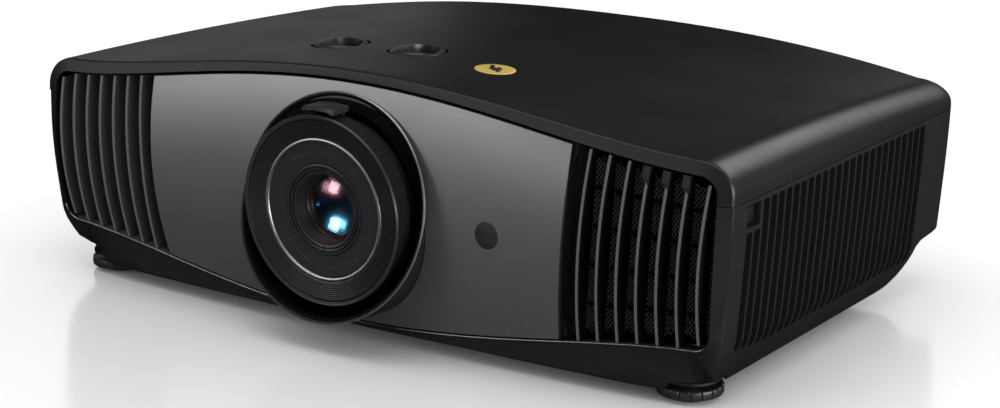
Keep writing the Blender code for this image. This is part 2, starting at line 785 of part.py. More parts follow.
def surround():
    """Flared collar: it lies on the panel above the lens and stands out below it."""
    loops = [[(x, -0.1105, z) for x, z in neck_ring(0.0)],
             [(x, panel_y(x, z) - 0.0006, z) for x, z in neck_ring(0.0)],
             rim_ring(RIM_R + 0.0010, 0.0007),
             rim_ring(RIM_R + 0.0006, 0.0),
             rim_ring(RIM_R - 0.0006, 0.0),
             [(x, panel_y(x, z) - 0.0015, z) for x, z in neck_ring(0.0014)],
             [(x, -0.1300, z) for x, z in neck_ring(0.0014)],
             [(x, -0.1150, z) for x, z in neck_ring(0.0024)]]
    for y in (-0.1150, -0.1105):
        loops.append([(0.0530 * math.cos(2 * math.pi * s / NECK_STEPS), y,
                       LENS_Z + 0.0530 * math.sin(2 * math.pi * s / NECK_STEPS))
                      for s in range(NECK_STEPS)])
    verts = [p for loop in loops for p in loop]
    faces = []
    for k in range(len(loops)):
        n = (k + 1) % len(loops)
        for s in range(NECK_STEPS):
            t = (s + 1) % NECK_STEPS
            faces.append((k * NECK_STEPS + s, n * NECK_STEPS + s, n * NECK_STEPS + t, k * NECK_STEPS + t))
    return make("lens_surround", verts, faces, dark())


def lens_parts():
    at = (0.0, 0.0, LENS_Z)
    turned("focus_ring", [(0.0534, LIP_Y + 0.0002), (0.0545, LIP_Y - 0.0002), (FOCUS_R, LIP_Y + 0.0006),
                          (FOCUS_R, LIP_Y + 0.0018), (0.0550, LIP_Y + 0.0024),
                          (0.0550, LIP_Y + 0.0125), (0.0534, LIP_Y + 0.0125)],
           at, "Y", dark(), 40)
    turned("lens_face", [(0.0270, -0.1592), (0.0398, -0.1599), (0.0398, -0.1586), (0.0420, -0.1586),
                         (0.0420, -0.1606), (0.0530, -0.1624), (0.0530, -0.1578), (0.0270, -0.1578)],
           at, "Y", dark(), 40)
    turned("chrome_ring", [(0.0401, -0.1602), (0.0409, -0.1607), (0.0417, -0.1603),
                           (0.0417, -0.1588), (0.0401, -0.1588)], at, "Y", steel(), 40)
    retainer = turned("lens_retainer", [(0.0206, -0.1592), (0.0222, -0.1598), (0.0236, -0.1598),
                                        (0.0240, -0.1590), (0.0252, -0.1590), (0.0256, -0.1597),
                                        (0.0267, -0.1597), (0.0267, -0.1560), (0.0206, -0.1500)],
                      at, "Y", dark(), 28)
    notches = [box("n", (-0.0005, -0.17, LENS_Z + 0.0200), (0.0005, -0.1588, LENS_Z + 0.0246), dark()),
               box("n", (-0.0005, -0.17, LENS_Z - 0.0246), (0.0005, -0.1588, LENS_Z - 0.0200), dark())]
    cut(retainer, join_shapes("retainer_notches", notches, dark()))
    turned("lens_front_element", [(0.0, -0.1560), (0.0060, -0.1556), (0.0120, -0.1543), (0.0170, -0.1524),
                                  (0.0196, -0.1508), (0.0196, -0.1480), (0.0, -0.1470)],
           at, "Y", glass(), 28)
    turned("lens_inner_element", [(0.0, -0.1380), (0.0080, -0.1375), (0.0150, -0.1350), (0.0150, -0.1300),
                                  (0.0, -0.1290)], at, "Y", glass(), 20)
    turned("lens_barrel", [(0.0203, -0.1470), (0.0272, -0.1550), (0.0272, -0.1576), (0.0530, -0.1576),
                           (0.0530, -0.1504), (0.0492, -0.1504), (0.0492, -0.1330), (0.0460, -0.1330),
                           (0.0460, -0.0700), (0.0380, -0.0560), (0.0380, -0.0555), (0.0160, -0.0555),
                           (0.0160, -0.1290), (0.0154, -0.1290), (0.0154, -0.1400), (0.0203, -0.1440)],
           at, "Y", dark(), 24)
    zoom = turned("zoom_ring", [(0.0495, -0.1500), (0.0522, -0.1500), (0.0522, -0.1418), (0.0495, -0.1418)],
                  at, "Y", dark(), 40)
    top = LENS_Z
    tab = join_shapes("zoom_tab_shape", [box("a", (-0.0105, -0.1630, top + 0.0580),
                                              (0.0105, -0.1470, top + 0.0606), dark())], dark())
    riser = join_shapes("zoom_tab_riser", [box("a", (-0.0075, -0.1498, top + 0.0505),
                                                (0.0075, -0.1472, top + 0.0590), dark())], dark())
    fuse(zoom, tab)
    fuse(zoom, riser)


def plate_with_hole(name, low, high, radius, mat):
    obj = box(name, low, high, mat)
    tool = turned(name + "_hole", [(0.0, -0.02), (radius, -0.02), (radius, 0.02), (0.0, 0.02)],
                  (0, (low[1] + high[1]) / 2, LENS_Z), "Y", dark(), 32)
    return cut(obj, tool)


def lens_carriage():
    plate_with_hole("lens_mount_plate", (-0.080, -0.1098, 0.0190), (0.080, -0.1072, 0.1440), 0.0520,
                    steel())
    plate_with_hole("shift_plate_vertical", (-0.072, -0.1066, 0.0270), (0.072, -0.1041, 0.1380), 0.0500,
                    steel())
    plate_with_hole("shift_plate_horizontal", (-0.064, -0.1036, 0.0300), (0.064, -0.1011, 0.1360),
                    0.0466, steel())


# ---------------------------------------------------------------- roof details
def shift_dial(name, x):
    floor = roof_z(x, DIAL_Y) - 0.0034
    at = (x, DIAL_Y, floor)
    body = turned(name, [(0.0, 0.0004), (DIAL_R - 0.0004, 0.0004), (DIAL_R, 0.0010), (DIAL_R, 0.0020),
                         (DIAL_R - 0.0018, 0.0028), (0.0105, 0.0042), (0.0050, 0.0050), (0.0, 0.0052)],
                  at, "Z", dark(), 32)
    stem = turned(name + "_stem", [(0.0, -0.0100), (0.0036, -0.0100), (0.0036, 0.0015), (0.0, 0.0015)],
                  at, "Z", dark(), 12)
    fuse(body, stem)
    bite = turned(name + "_bite", [(0.0, 0.0014), (0.0122, 0.0014), (0.0132, 0.0120), (0.0, 0.0120)],
                  (x + 0.0012, DIAL_Y, floor), "Z", dark(), 24)
    keep = box(name + "_half", (x - 0.03, DIAL_Y - 0.03, floor - 0.01),
               (x + 0.0010, DIAL_Y + 0.03, floor + 0.02), dark())
    cut(bite, keep)
    return cut(body, bite)


def roof_details(cover):
    shapes = []
    for x in DIAL_X:
        top = roof_z(x, DIAL_Y)
        well = turned("well", [(0.0, -0.0062), (DIAL_R + 0.0032, -0.0062),
                               (DIAL_R + 0.0032, 0.0), (0.0, 0.0)],
                      (x, DIAL_Y, top), "Z", black(), 28)
        for vert in well.data.vertices:
            if vert.co.z > -0.001:
                vert.co.z = roof_z(x + vert.co.x, DIAL_Y + vert.co.y) - top - 0.0012
        shapes.append(well)
    fuse(cover, join_shapes("dial_wells", shapes, black()))
    shapes = []
    for x in DIAL_X:
        top = roof_z(x, DIAL_Y)
        shapes.append(turned("p", [(0.0, -0.0034), (DIAL_R + 0.0006, -0.0034),
                                   (DIAL_R + 0.0006, 0.0060), (0.0, 0.0060)],
                             (x, DIAL_Y, top), "Z", black(), 28))
    top = roof_z(EMBLEM_X, EMBLEM_Y)
    shapes.append(turned("p", [(0.0, -0.0006), (EMBLEM_R + 0.0003, -0.0006),
                               (EMBLEM_R + 0.0003, 0.0060), (0.0, 0.0060)],
                         (EMBLEM_X, EMBLEM_Y, top - 0.0008), "Z", black(), 24))
    cut(cover, join_shapes("cover_pockets", shapes, black()))
    shapes = []
    for x in DIAL_X:
        shapes.append(turned("p", [(0.0, -0.0100), (0.0040, -0.0100), (0.0040, 0.0060), (0.0, 0.0060)],
                             (x, DIAL_Y, roof_z(x, DIAL_Y)), "Z", black(), 12))
    cut(cover, join_shapes("cover_shaft_holes", shapes, black()))
    turned("emblem_disc", [(0.0, -0.0003), (EMBLEM_R, -0.0003), (EMBLEM_R, 0.0006), (0.0, 0.0006)],
           (EMBLEM_X, EMBLEM_Y, top - 0.0008), "Z", gold(), 24)


# ---------------------------------------------------------------- feet
def feet():
    for side, tag in ((-1, "left"), (1, "right")):
        x = side * FOOT_X
        low, high = FOOT_DISC
        ripple = lambda k, s: -0.0004 if k in (2, 3) and s % 3 == 0 else 0.0
        turned("foot_disc_" + tag, [(0.0, low), (0.0165, low), (FOOT_R, low + 0.0008),
                                    (FOOT_R, high - 0.0006), (FOOT_R - 0.0008, high), (0.0042, high),
                                    (0.0042, 0.0300), (0.0, 0.0300)],
               (x, FOOT_Y, 0.0), "Z", dark(), 30, ripple)
        turned("foot_pad_" + tag, [(0.0, 0.0), (0.0112, 0.0), (0.0118, 0.0004), (0.0118, low - 0.0002),
                                   (0.0, low - 0.0002)], (x, FOOT_Y, 0.0), "Z", rubber(), 20)
        turned("foot_guide_" + tag, [(0.0045, 0.0290), (0.0080, 0.0290), (0.0080, 0.0330),
                                     (0.0, 0.0330), (0.0, 0.0304), (0.0045, 0.0304)],
               (x, FOOT_Y, 0.0), "Z", steel(), 16)
        turned("rear_foot_" + tag, [(0.0, 0.0), (0.0095, 0.0), (0.0100, 0.0005), (0.0100, BASE_Z - 0.0003),
                                    (0.0, BASE_Z - 0.0003)], (side * 0.185, 0.062, 0.0), "Z", rubber(), 20)


# ---------------------------------------------------------------- inside
def fan(side):
    tag = "intake" if side > 0 else "exhaust"
    x, y, z = side * 0.196, -0.084, 0.077
    half = 0.036
    frame = box("fan_frame_" + tag, (x - half, y - 0.009, z - half), (x + half, y + 0.009, z + half),
                dark())
    bore = turned("fan_bore_" + tag, [(0.0, -0.02), (0.0335, -0.02), (0.0335, 0.02), (0.0, 0.02)],
                  (x, y, z), "Y", dark(), 28)
    cut(frame, bore)
    arm_reach, arm_half = 0.0350, 0.0020
    arms = box("fan_arms_" + tag, (x - arm_reach, y + 0.0070, z - arm_half),
               (x + arm_reach, y + 0.0088, z + arm_half), dark())
    arms2 = box("fan_arms2_" + tag, (x - arm_half, y + 0.0068, z - arm_reach),
                (x + arm_half, y + 0.0086, z + arm_reach), dark())
    fuse(frame, arms)
    fuse(frame, arms2)
    rotor = turned("fan_rotor_" + tag, [(0.0, -0.0080), (0.0115, -0.0080), (0.0125, -0.0070), (0.0125, 0.0060),
                                        (0.0, 0.0060)], (x, y, z), "Y", dark(), 20)
    blades = []
    for k in range(7):
        ang = 2 * math.pi * k / 7
        grid = []
        for r, sweep in ((0.0105, 0.55), (0.0215, 0.45), (0.0322, 0.36)):
            line = []
            for along, part in ((-0.0060, -0.5), (0.0045, 0.5)):
                a = ang + sweep * part
                line.append((x + r * math.cos(a), y + along, z + r * math.sin(a)))
            grid.append(line)
        blades.append(sheet("b", grid, 0.0011, dark(), (0, -1, 0)))
    fuse(rotor, join_shapes("fan_blades_" + tag, blades, dark()))


def electronics():
    box("light_engine", (-0.070, -0.0500, 0.0200), (0.085, 0.0400, 0.0950), steel())
    box("lamp_module", (0.100, 0.0100, 0.0200), (0.180, 0.1050, 0.0950), dark())
    box("power_supply", (-0.215, -0.0400, 0.0400), (-0.120, 0.1250, 0.0820), steel())
    box("main_board", (-0.110, -0.0450, 0.1060), (0.150, 0.1350, 0.1076), board_green())


def socket(name, x0, x1, z0, z1, depth, wall, mat):
    y1 = REAR_Y - 0.0006
    obj = box(name, (x0 - wall, y1 - depth, z0 - wall), (x1 + wall, y1, z1 + wall), mat)
    cut(obj, box(name + "_mouth", (x0, y1 - depth + 0.0015, z0), (x1, y1 + 0.01, z1), mat))
    return obj


def rear_ports():
    plate = box("io_plate", (-0.0600, REAR_Y - 0.0022, 0.0600), (0.1400, REAR_Y - 0.0004, 0.0900), dark())
    holes = []
    for low, high, z0, z1 in ((-0.0500, -0.0330, 0.0700, 0.0770), (-0.0250, -0.0080, 0.0700, 0.0770),
                              (0.0040, 0.0195, 0.0690, 0.0780)):
        holes.append(box("h", (low, 0.15, z0), (high, 0.18, z1), dark()))
    for x in (0.0740, 0.0920):
        holes.append(turned("h", [(0.0, -0.01), (0.0048, -0.01), (0.0048, 0.01), (0.0, 0.01)],
                            (x, REAR_Y, 0.0740), "Y", dark(), 16))
    cut(plate, join_shapes("io_holes", holes, dark()))
    socket("hdmi_port_1", -0.0487, -0.0343, 0.0712, 0.0758, 0.0110, 0.0009, steel())
    socket("hdmi_port_2", -0.0237, -0.0093, 0.0712, 0.0758, 0.0110, 0.0009, steel())
    socket("usb_port", 0.0052, 0.0183, 0.0702, 0.0768, 0.0120, 0.0009, steel())
    for name, x in (("trigger_jack", 0.0740), ("audio_jack", 0.0920)):
        turned(name, [(0.0018, REAR_Y + 0.0006), (0.0045, REAR_Y + 0.0006), (0.0045, REAR_Y - 0.0120),
                      (0.0, REAR_Y - 0.0120), (0.0, REAR_Y - 0.0105), (0.0018, REAR_Y - 0.0105)],
               (x, 0.0, 0.0740), "Y", dark(), 16)
    inlet = box("ac_inlet", (-0.1700, REAR_Y - 0.0220, 0.0600), (-0.1400, REAR_Y - 0.0003, 0.0820), dark())
    cut(inlet, box("ac_inlet_mouth", (-0.1672, REAR_Y - 0.0170, 0.0628), (-0.1428, 0.18, 0.0792), dark()))
    pins = []
    for x, z in ((-0.1620, 0.0690), (-0.1550, 0.0735), (-0.1480, 0.0690)):
        pins.append(box("p", (x - 0.0010, REAR_Y - 0.0190, z - 0.0020),
                        (x + 0.0010, REAR_Y - 0.0050, z + 0.0020), steel()))
    fuse(inlet, join_shapes("ac_inlet_pins", pins, steel()))


def keypad():
    face = -(side_x(KEY_Z) - 0.0008)
    plate = box("keypad_plate", (face, KEY_Y - 0.0300, KEY_Z - 0.0200),
                (face + 0.0016, KEY_Y + 0.0300, KEY_Z + 0.0200), dark())
    keys = {
        "button_power": (-0.0200, 0.0, 0.0044), "button_menu": (0.0240, 0.0, 0.0034),
        "button_up": (0.0020, 0.0115, 0.0034), "button_down": (0.0020, -0.0115, 0.0034),
        "button_ok": (0.0020, 0.0, 0.0040), "button_left": (-0.0100, 0.0, 0.0034),
        "button_right": (0.0140, 0.0, 0.0034),
    }
    holes = []
    for name, (dy, dz, radius) in keys.items():
        at = (face, KEY_Y + dy, KEY_Z + dz)
        holes.append(turned("h", [(0.0, -0.01), (radius + 0.0003, -0.01), (radius + 0.0003, 0.01),
                                  (0.0, 0.01)], at, "X", dark(), 16))
        turned(name, [(0.0, -0.0008), (radius - 0.0005, -0.0008), (radius, -0.0003), (radius, 0.0030),
                      (0.0, 0.0030)], at, "X", dark(), 16)
    cut(plate, join_shapes("keypad_holes", holes, dark()))


def small_windows():
    face = panel_y(0.1012, 0.0809)
    turned("ir_window", [(0.0, face - 0.0004), (0.0072, face - 0.0003), (0.0080, face + 0.0002),
                         (0.0080, face + 0.0022), (0.0, face + 0.0022)],
           (0.1012, 0.0, 0.0809), "Y", dark(), 28)
    box("lock_slot", (0.2428, -0.1120, 0.1022), (0.2434, -0.0995, 0.1118), steel())


def build():
    clear_scene()
    cover = roof_front()
    roof_details(cover)
    roof_rear()
    side_panel(1)
    side_panel(-1)
    base_tray()
    rear_panel()
    front_panel()
    for side in (-1, 1):
        grille(side)
        filter_frame(side)
        fan(side)
    surround()
    lens_parts()
    lens_carriage()
    shift_dial("shift_dial_horizontal", DIAL_X[0])
    shift_dial("shift_dial_vertical", DIAL_X[1])
    feet()
    electronics()
    rear_ports()
    keypad()
    small_windows()
    for obj in bpy.data.objects:
        obj.location.y += CENTRE_SHIFT


build()
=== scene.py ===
"""Looks of the home projector: fine pieces, materials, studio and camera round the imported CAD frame."""
from math import atan2, copysign, cos, degrees, exp, hypot, pi, radians, sin, sqrt

import bmesh
import bpy
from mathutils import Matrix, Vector


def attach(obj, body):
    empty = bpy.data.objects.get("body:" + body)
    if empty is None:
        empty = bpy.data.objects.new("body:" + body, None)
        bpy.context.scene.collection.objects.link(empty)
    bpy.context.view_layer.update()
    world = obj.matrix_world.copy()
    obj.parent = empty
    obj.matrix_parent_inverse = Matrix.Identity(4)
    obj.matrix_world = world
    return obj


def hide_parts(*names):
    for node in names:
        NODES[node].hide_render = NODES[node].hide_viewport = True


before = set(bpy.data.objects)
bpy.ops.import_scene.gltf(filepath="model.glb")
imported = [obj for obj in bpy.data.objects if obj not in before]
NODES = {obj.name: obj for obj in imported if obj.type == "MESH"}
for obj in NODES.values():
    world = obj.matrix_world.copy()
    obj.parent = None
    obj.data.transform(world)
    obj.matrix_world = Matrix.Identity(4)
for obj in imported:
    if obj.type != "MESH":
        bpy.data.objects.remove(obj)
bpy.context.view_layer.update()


# ---------------------------------------------------------------- materials
def add_node(tree, kind, **sockets):
    """New shader node; keyword arguments set its inputs by name, with _ for a space."""
    node = tree.nodes.new("ShaderNode" + kind)
    for key, value in sockets.items():
        node.inputs[key.replace("_", " ")].default_value = value
    return node


def shader_setup(name, rgb, metallic=0.0, roughness=0.5):
    """New Principled material with its node tree and its shader."""
    mat = bpy.data.materials.new(name)
    mat.use_nodes = True
    shader = mat.node_tree.nodes["Principled BSDF"]
    shader.inputs["Base Color"].default_value = (*rgb, 1.0)
    shader.inputs["Metallic"].default_value = metallic
    shader.inputs["Roughness"].default_value = roughness
    return mat, mat.node_tree, shader


def coords(tree, kind="Object"):
    return add_node(tree, "TexCoord").outputs[kind]


def noise(tree, scale, detail=3.0, rough=0.55, vector=None):
    node = add_node(tree, "TexNoise", Scale=scale, Detail=detail, Roughness=rough)
    tree.links.new(vector or coords(tree), node.inputs["Vector"])
    return node.outputs["Fac"]


def spread(tree, fac, low, high):
    """Maps a 0 to 1 factor, mostly near its middle, onto low to high."""
    node = add_node(tree, "MapRange", From_Min=0.3, From_Max=0.7, To_Min=low, To_Max=high)
    tree.links.new(fac, node.inputs["Value"])
    return node.outputs["Result"]


def tint(tree, fac, dark_rgb, light_rgb):
    node = add_node(tree, "Mix")
    node.data_type = "RGBA"
    node.inputs[6].default_value = (*dark_rgb, 1.0)
    node.inputs[7].default_value = (*light_rgb, 1.0)
    tree.links.new(fac, node.inputs[0])
    return node.outputs[2]


def bump(tree, height, strength, distance, shader):
    node = add_node(tree, "Bump", Strength=strength, Distance=distance)
    tree.links.new(height, node.inputs["Height"])
    tree.links.new(node.outputs["Normal"], shader.inputs["Normal"])


def paint(tree, shader, colour, gloss):
    """Links a varying colour and roughness to the shader."""
    tree.links.new(colour, shader.inputs["Base Color"])
    tree.links.new(gloss, shader.inputs["Roughness"])


def cells(tree, scale):
    node = add_node(tree, "TexVoronoi", Scale=scale)
    tree.links.new(coords(tree), node.inputs["Vector"])
    return node.outputs["Distance"]


def moulded(name, rgb, roughness, grain=900.0, depth=0.00006, spread_rgb=0.25, level=0.5):
    """Moulded plastic: spark-eroded grain, slightly uneven gloss and colour."""
    mat, tree, shader = shader_setup(name, rgb, 0.0, roughness)
    shader.inputs["Specular IOR Level"].default_value = level
    fine = noise(tree, grain, 4.0, 0.6)
    slow = noise(tree, 14.0, 2.0, 0.5)
    low = tuple(c * (1 - spread_rgb) for c in rgb)
    high = tuple(c * (1 + spread_rgb) for c in rgb)
    paint(tree, shader, tint(tree, spread(tree, fine, 0.0, 1.0), low, high),
          spread(tree, slow, roughness - 0.03, roughness + 0.03))
    bump(tree, fine, 0.5, depth, shader)
    return mat


def metallic_paint(name, rgb, roughness):
    """Graphite metallic lacquer: fine flake sparkle."""
    mat, tree, shader = shader_setup(name, rgb, 0.85, roughness)
    flake = cells(tree, 2600.0)
    low = tuple(c * 0.86 for c in rgb)
    high = tuple(min(c * 1.16, 1.0) for c in rgb)
    paint(tree, shader, tint(tree, flake, high, low),
          spread(tree, noise(tree, 9.0, 2.0), roughness - 0.02, roughness + 0.02))
    bump(tree, noise(tree, 1500.0, 2.0), 0.25, 0.00003, shader)
    return mat


def machined(name, rgb, roughness, scale=500.0):
    """Turned or brushed metal with fine tool marks."""
    mat, tree, shader = shader_setup(name, rgb, 1.0, roughness)
    stretch = add_node(tree, "Mapping", Scale=(1.0, 1.0, 0.06))
    tree.links.new(coords(tree), stretch.inputs["Vector"])
    marks = noise(tree, scale, 3.0, 0.6, stretch.outputs["Vector"])
    paint(tree, shader, tint(tree, marks, tuple(c * 0.85 for c in rgb), rgb),
          spread(tree, marks, roughness - 0.05, roughness + 0.06))
    bump(tree, marks, 0.2, 0.00002, shader)
    return mat


def circuit_board(name):
    mat, tree, shader = shader_setup(name, (0.01, 0.1, 0.05), 0.0, 0.4)
    tracks = cells(tree, 160.0)
    tree.links.new(tint(tree, tracks, (0.006, 0.06, 0.03), (0.02, 0.16, 0.08)), shader.inputs["Base Color"])
    bump(tree, tracks, 0.4, 0.0003, shader)
    return mat


def coated_glass(name, rgb, share):
    """Coated lens element: mostly clear, with a tinted mirror-like reflection."""
    mat = bpy.data.materials.new(name)
    mat.use_nodes = True
    tree = mat.node_tree
    tree.nodes.clear()
    clear = add_node(tree, "BsdfTransparent")
    glossy = add_node(tree, "BsdfGlossy", Color=(*rgb, 1.0))
    tree.links.new(spread(tree, noise(tree, 40.0, 2.0), 0.1, 0.2), glossy.inputs["Roughness"])
    mix = add_node(tree, "MixShader", Fac=share)
    tree.links.new(clear.outputs["BSDF"], mix.inputs[1])
    tree.links.new(glossy.outputs["BSDF"], mix.inputs[2])
    out = add_node(tree, "OutputMaterial")
    tree.links.new(mix.outputs["Shader"], out.inputs["Surface"])
    return mat


# key: material name, red and green, blue, roughness, grain scale and depth, colour spread, specular level
PLASTICS = {
    "cover": ("cover_black", 0.0105, 0.0112, 0.38, 1300.0, 0.00004),
    "case": ("case_black", 0.011, 0.0115, 0.42, 900.0, 0.00008),
    "dark": ("dark_plastic", 0.007, 0.0075, 0.45, 700.0, 0.00006),
    "blade": ("blade_black", 0.01, 0.0105, 0.32, 900.0, 0.00004),
    "filter": ("filter_black", 0.006, 0.0062, 0.6, 600.0, 0.00008),
    "lens": ("lens_black", 0.009, 0.0095, 0.34, 1200.0, 0.00003),
    "rubber": ("foot_rubber", 0.008, 0.008, 0.8, 500.0, 0.0001),
    "collar": ("collar_black", 0.01, 0.0105, 0.32, 1200.0, 0.00002),
    # blade_face and blade_side are lit copies of the black louvre plastic: lighter grey on the front faces is
    # painted reflection, mid grey on the left louvres' sides is painted light
    "blade_face": ("blade_face_grey", 0.085, 0.087, 0.5, 900.0, 0.00003, 0.1, 0.3),
    "blade_side": ("blade_side_grey", 0.04, 0.041, 0.45, 900.0, 0.00003, 0.1, 0.4),
    "focus": ("focus_black", 0.022, 0.0225, 0.32, 1200.0, 0.00002),
    "bezel": ("bezel_black", 0.016, 0.0165, 0.36, 1200.0, 0.00002),
    "tick": ("scale_grey", 0.07, 0.072, 0.5, 900.0, 0.00001),
    "dial": ("dial_black", 0.02, 0.021, 0.34, 1200.0, 0.00003),
    # painted_shade: near-black painted shade, put in gaps, slots, wells and cavities and on the shaded sides
    # of the right louvres
    "painted_shade": ("cavity_black", 0.002, 0.002, 0.7, 600.0, 0.00005, 0.25, 0.1),
    "mark": ("mark_black", 0.006, 0.006, 0.5, 600.0, 0.00002),
    "hood": ("hood_grey", 0.016, 0.0165, 0.42, 900.0, 0.00003),
    "screen": ("screen_wire", 0.1, 0.102, 0.45, 900.0, 0.00002),
    "window": ("smoked_window", 0.018, 0.0185, 0.55, 400.0, 0.00001, 0.25, 0.3),
}

MAT = {key: moulded(label, (grey, grey, blue), *rest) for key, (label, grey, blue, *rest) in PLASTICS.items()}
MAT.update({
    "panel": metallic_paint("panel_graphite", (0.33, 0.33, 0.34), 0.4),
    "steel": machined("zinc_steel", (0.48, 0.49, 0.51), 0.34),
    "chrome": machined("bright_chrome", (0.96, 0.96, 0.97), 0.42, 900.0),
    "gold": moulded("gold_foil", (0.5, 0.35, 0.085), 0.4, 900.0, 0.00001, 0.08),
    "board": circuit_board("main_board_green"),
    "glass": coated_glass("lens_glass", (1.0, 0.5, 0.58), 0.11),
    "glass_blue": coated_glass("lens_glass_blue", (0.2, 0.62, 1.0), 0.75),
    "flare": metallic_paint("flare_graphite", (0.06, 0.06, 0.062), 0.42),
    "trim": machined("trim_grey", (0.62, 0.62, 0.63), 0.3, 900.0),
})

LOOKS = {
    "cover": ("top_cover_front", "top_cover_rear"),
    "case": ("base_tray", "side_panel_left", "side_panel_right", "rear_panel"),
    "panel": ("front_panel",),
    "blade": ("grille_left", "grille_right"),
    "filter": ("filter_frame_left", "filter_frame_right"),
    "lens": ("focus_ring", "lens_face", "lens_retainer", "zoom_ring", "lens_barrel"),
    "chrome": ("chrome_ring",),
    "gold": ("emblem_disc",),
    "glass": ("lens_front_element", "lens_inner_element"),
    "window": ("ir_window",),
    "board": ("main_board",),
    "rubber": ("foot_pad_left", "foot_pad_right", "rear_foot_left", "rear_foot_right"),
    "steel": ("lens_mount_plate", "shift_plate_horizontal", "shift_plate_vertical", "light_engine",
              "power_supply", "hdmi_port_1", "hdmi_port_2", "usb_port",
              "foot_guide_left", "foot_guide_right"),
}


def dress_frame():
    """Gives every CAD node its finish, joins its loose facets and rounds its edges a little."""
    look_of = {node: look for look, nodes in LOOKS.items() for node in nodes}
    for name, obj in NODES.items():
        mat = MAT[look_of.get(name, "dark")]
        for slot in obj.material_slots:
            slot.material = mat
        weld = obj.modifiers.new("weld", "WELD")
        weld.merge_threshold = 0.00001
        soften = obj.modifiers.new("soft_edges", "BEVEL")
        soften.width = 0.0003
        soften.segments = 2
        soften.limit_method = "ANGLE"
        soften.angle_limit = radians(35.0)
        soften.harden_normals = False
        for poly in obj.data.polygons:
            poly.use_smooth = True


dress_frame()


# ---------------------------------------------------------------- case curves, in the CAD part's own axes
SHIFT_Y = 0.00225            # from the curves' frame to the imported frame
HALF_WIDTH, PART_Z = 0.2472, 0.1166
POST_BULGE, PANEL_BULGE, BLADE_BULGE = 0.004, 0.0078, 0.0066
SEAM_Y, REAR_Y, REAR_ROUND, REAR_EDGE_R = 0.0475, 0.165, 0.024, 0.007
ROUND_X, TOP_CORNER, OPEN_HALF = 0.02, 0.0115, 0.239
BASE_Z, LENS_Z = 0.0081, 0.0833
REAR_WRAP = 0.55
HAIRLINE = 0.0002            # half the width of the seams between the case mouldings
BACKING = 0.0003             # thickness of the black sheets behind gaps
SIDES = ((-1, "left"), (1, "right"))


def arch(x):
    u = min(abs(x) / 0.2416, 1.0)
    return 2 * u * u - u ** 4


def front_y(x):
    return -0.1368 + 0.1226 * x * x


def roof_z(x, y):
    t = min(max((y + 0.135) / 0.292, 0.0), 1.03)
    centre = 0.1604 - 0.0131 * (0.2 * t + 0.8 * t * t)
    centre -= 0.0032 * (1 - min(t, 1.0)) * max(-x / HALF_WIDTH, 0.0) ** 3
    return centre - (1 - t) * 0.0218 * arch(x) - t * 0.0165 * (abs(x) / 0.2239) ** 2.37


def open_top(x):
    return 0.1554 - 0.0245 * arch(x)


def open_bottom(x):
    return 0.0115 + 0.0235 * arch(x)


def opening_z(x, s, low=0.0, high=0.0):
    """Height at the share s up the front opening, with margins below and above."""
    lo, hi = open_bottom(x) + low, open_top(x) - high
    return lo + (hi - lo) * s


def swell(x, z, amount):
    lo, hi = open_bottom(x), open_top(x)
    s = min(max((z - lo) / (hi - lo), 0.0), 1.0)
    return amount * 4 * s * (1 - s)


def rear_inset(y):
    """How far the sides have curved in at the rear corners."""
    s = min(max((y - (REAR_Y - REAR_ROUND)) / REAR_ROUND, 0.0), 1.0)
    return REAR_ROUND * (1 - sqrt(1 - s * s))


def side_x(z):
    taper = 0.0052 * (min(max(PART_Z - z, 0.0), 0.078) / 0.078) ** 1.35
    tuck = 0.0156 * (min(max(0.0386 - z, 0.0), 0.0305) / 0.0305) ** 1.5
    return HALF_WIDTH - taper - tuck


def post_edge(z):
    return OPEN_HALF - 0.0035 * (max(0.0966 - z, 0.0) / 0.058) ** 1.6


def panel_y(x, z):
    return front_y(x) + 0.0004 - swell(x, z, PANEL_BULGE)


def base_front_y(x):
    extra = max(abs(x) - 0.12, 0.0) / 0.1067
    return -0.1348 + 0.1226 * x * x + 0.019 * extra ** 9


def steps(low, high, count):
    return [low + (high - low) * k / count for k in range(count + 1)]


def circle(count):
    """Evenly spaced angles once round."""
    return steps(0.0, 2 * pi, count)[:-1]


# ---------------------------------------------------------------- building pieces
def place(name, data):
    """Puts a new object into the scene."""
    obj = bpy.data.objects.new(name, data)
    bpy.context.scene.collection.objects.link(obj)
    return obj


def new_mesh(name, verts, faces):
    """Mesh from points in the curves' frame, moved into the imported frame."""
    mesh = bpy.data.meshes.new(name)
    mesh.from_pydata([(x, y + SHIFT_Y, z) for x, y, z in verts], [], faces)
    return mesh


def face_outwards(mesh, merge=False):
    work = bmesh.new()
    work.from_mesh(mesh)
    if merge:
        bmesh.ops.remove_doubles(work, verts=work.verts, dist=1e-6)
    bmesh.ops.recalc_face_normals(work, faces=work.faces)
    work.to_mesh(mesh)
    work.free()


def piece(name, verts, faces, mat, replaces=(), body="case", slot="dark_plastic", smooth=35.0, tags=None):
    """Mesh piece from points in the curves' frame, riding on a body and standing for CAD nodes."""
    mesh = new_mesh(name, verts, faces)
    mesh.validate()
    for item in mat if isinstance(mat, tuple) else (mat,):
        mesh.materials.append(item)
    if tags:
        for poly, tag in zip(mesh.polygons, tags):
            poly.material_index = tag
    face_outwards(mesh, merge=True)
    for poly in mesh.polygons:
        poly.use_smooth = True
    mesh.set_sharp_from_angle(angle=radians(smooth))
    obj = place(name, mesh)
    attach(obj, body)
    if replaces:
        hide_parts(*replaces)
    return obj


def grid_faces(rows, cols, wrap=False):
    faces = []
    for i in range(rows - 1):
        for j in range(cols if wrap else cols - 1):
            n = (j + 1) % cols
            faces.append((i * cols + j, i * cols + n, (i + 1) * cols + n, (i + 1) * cols + j))
    return faces


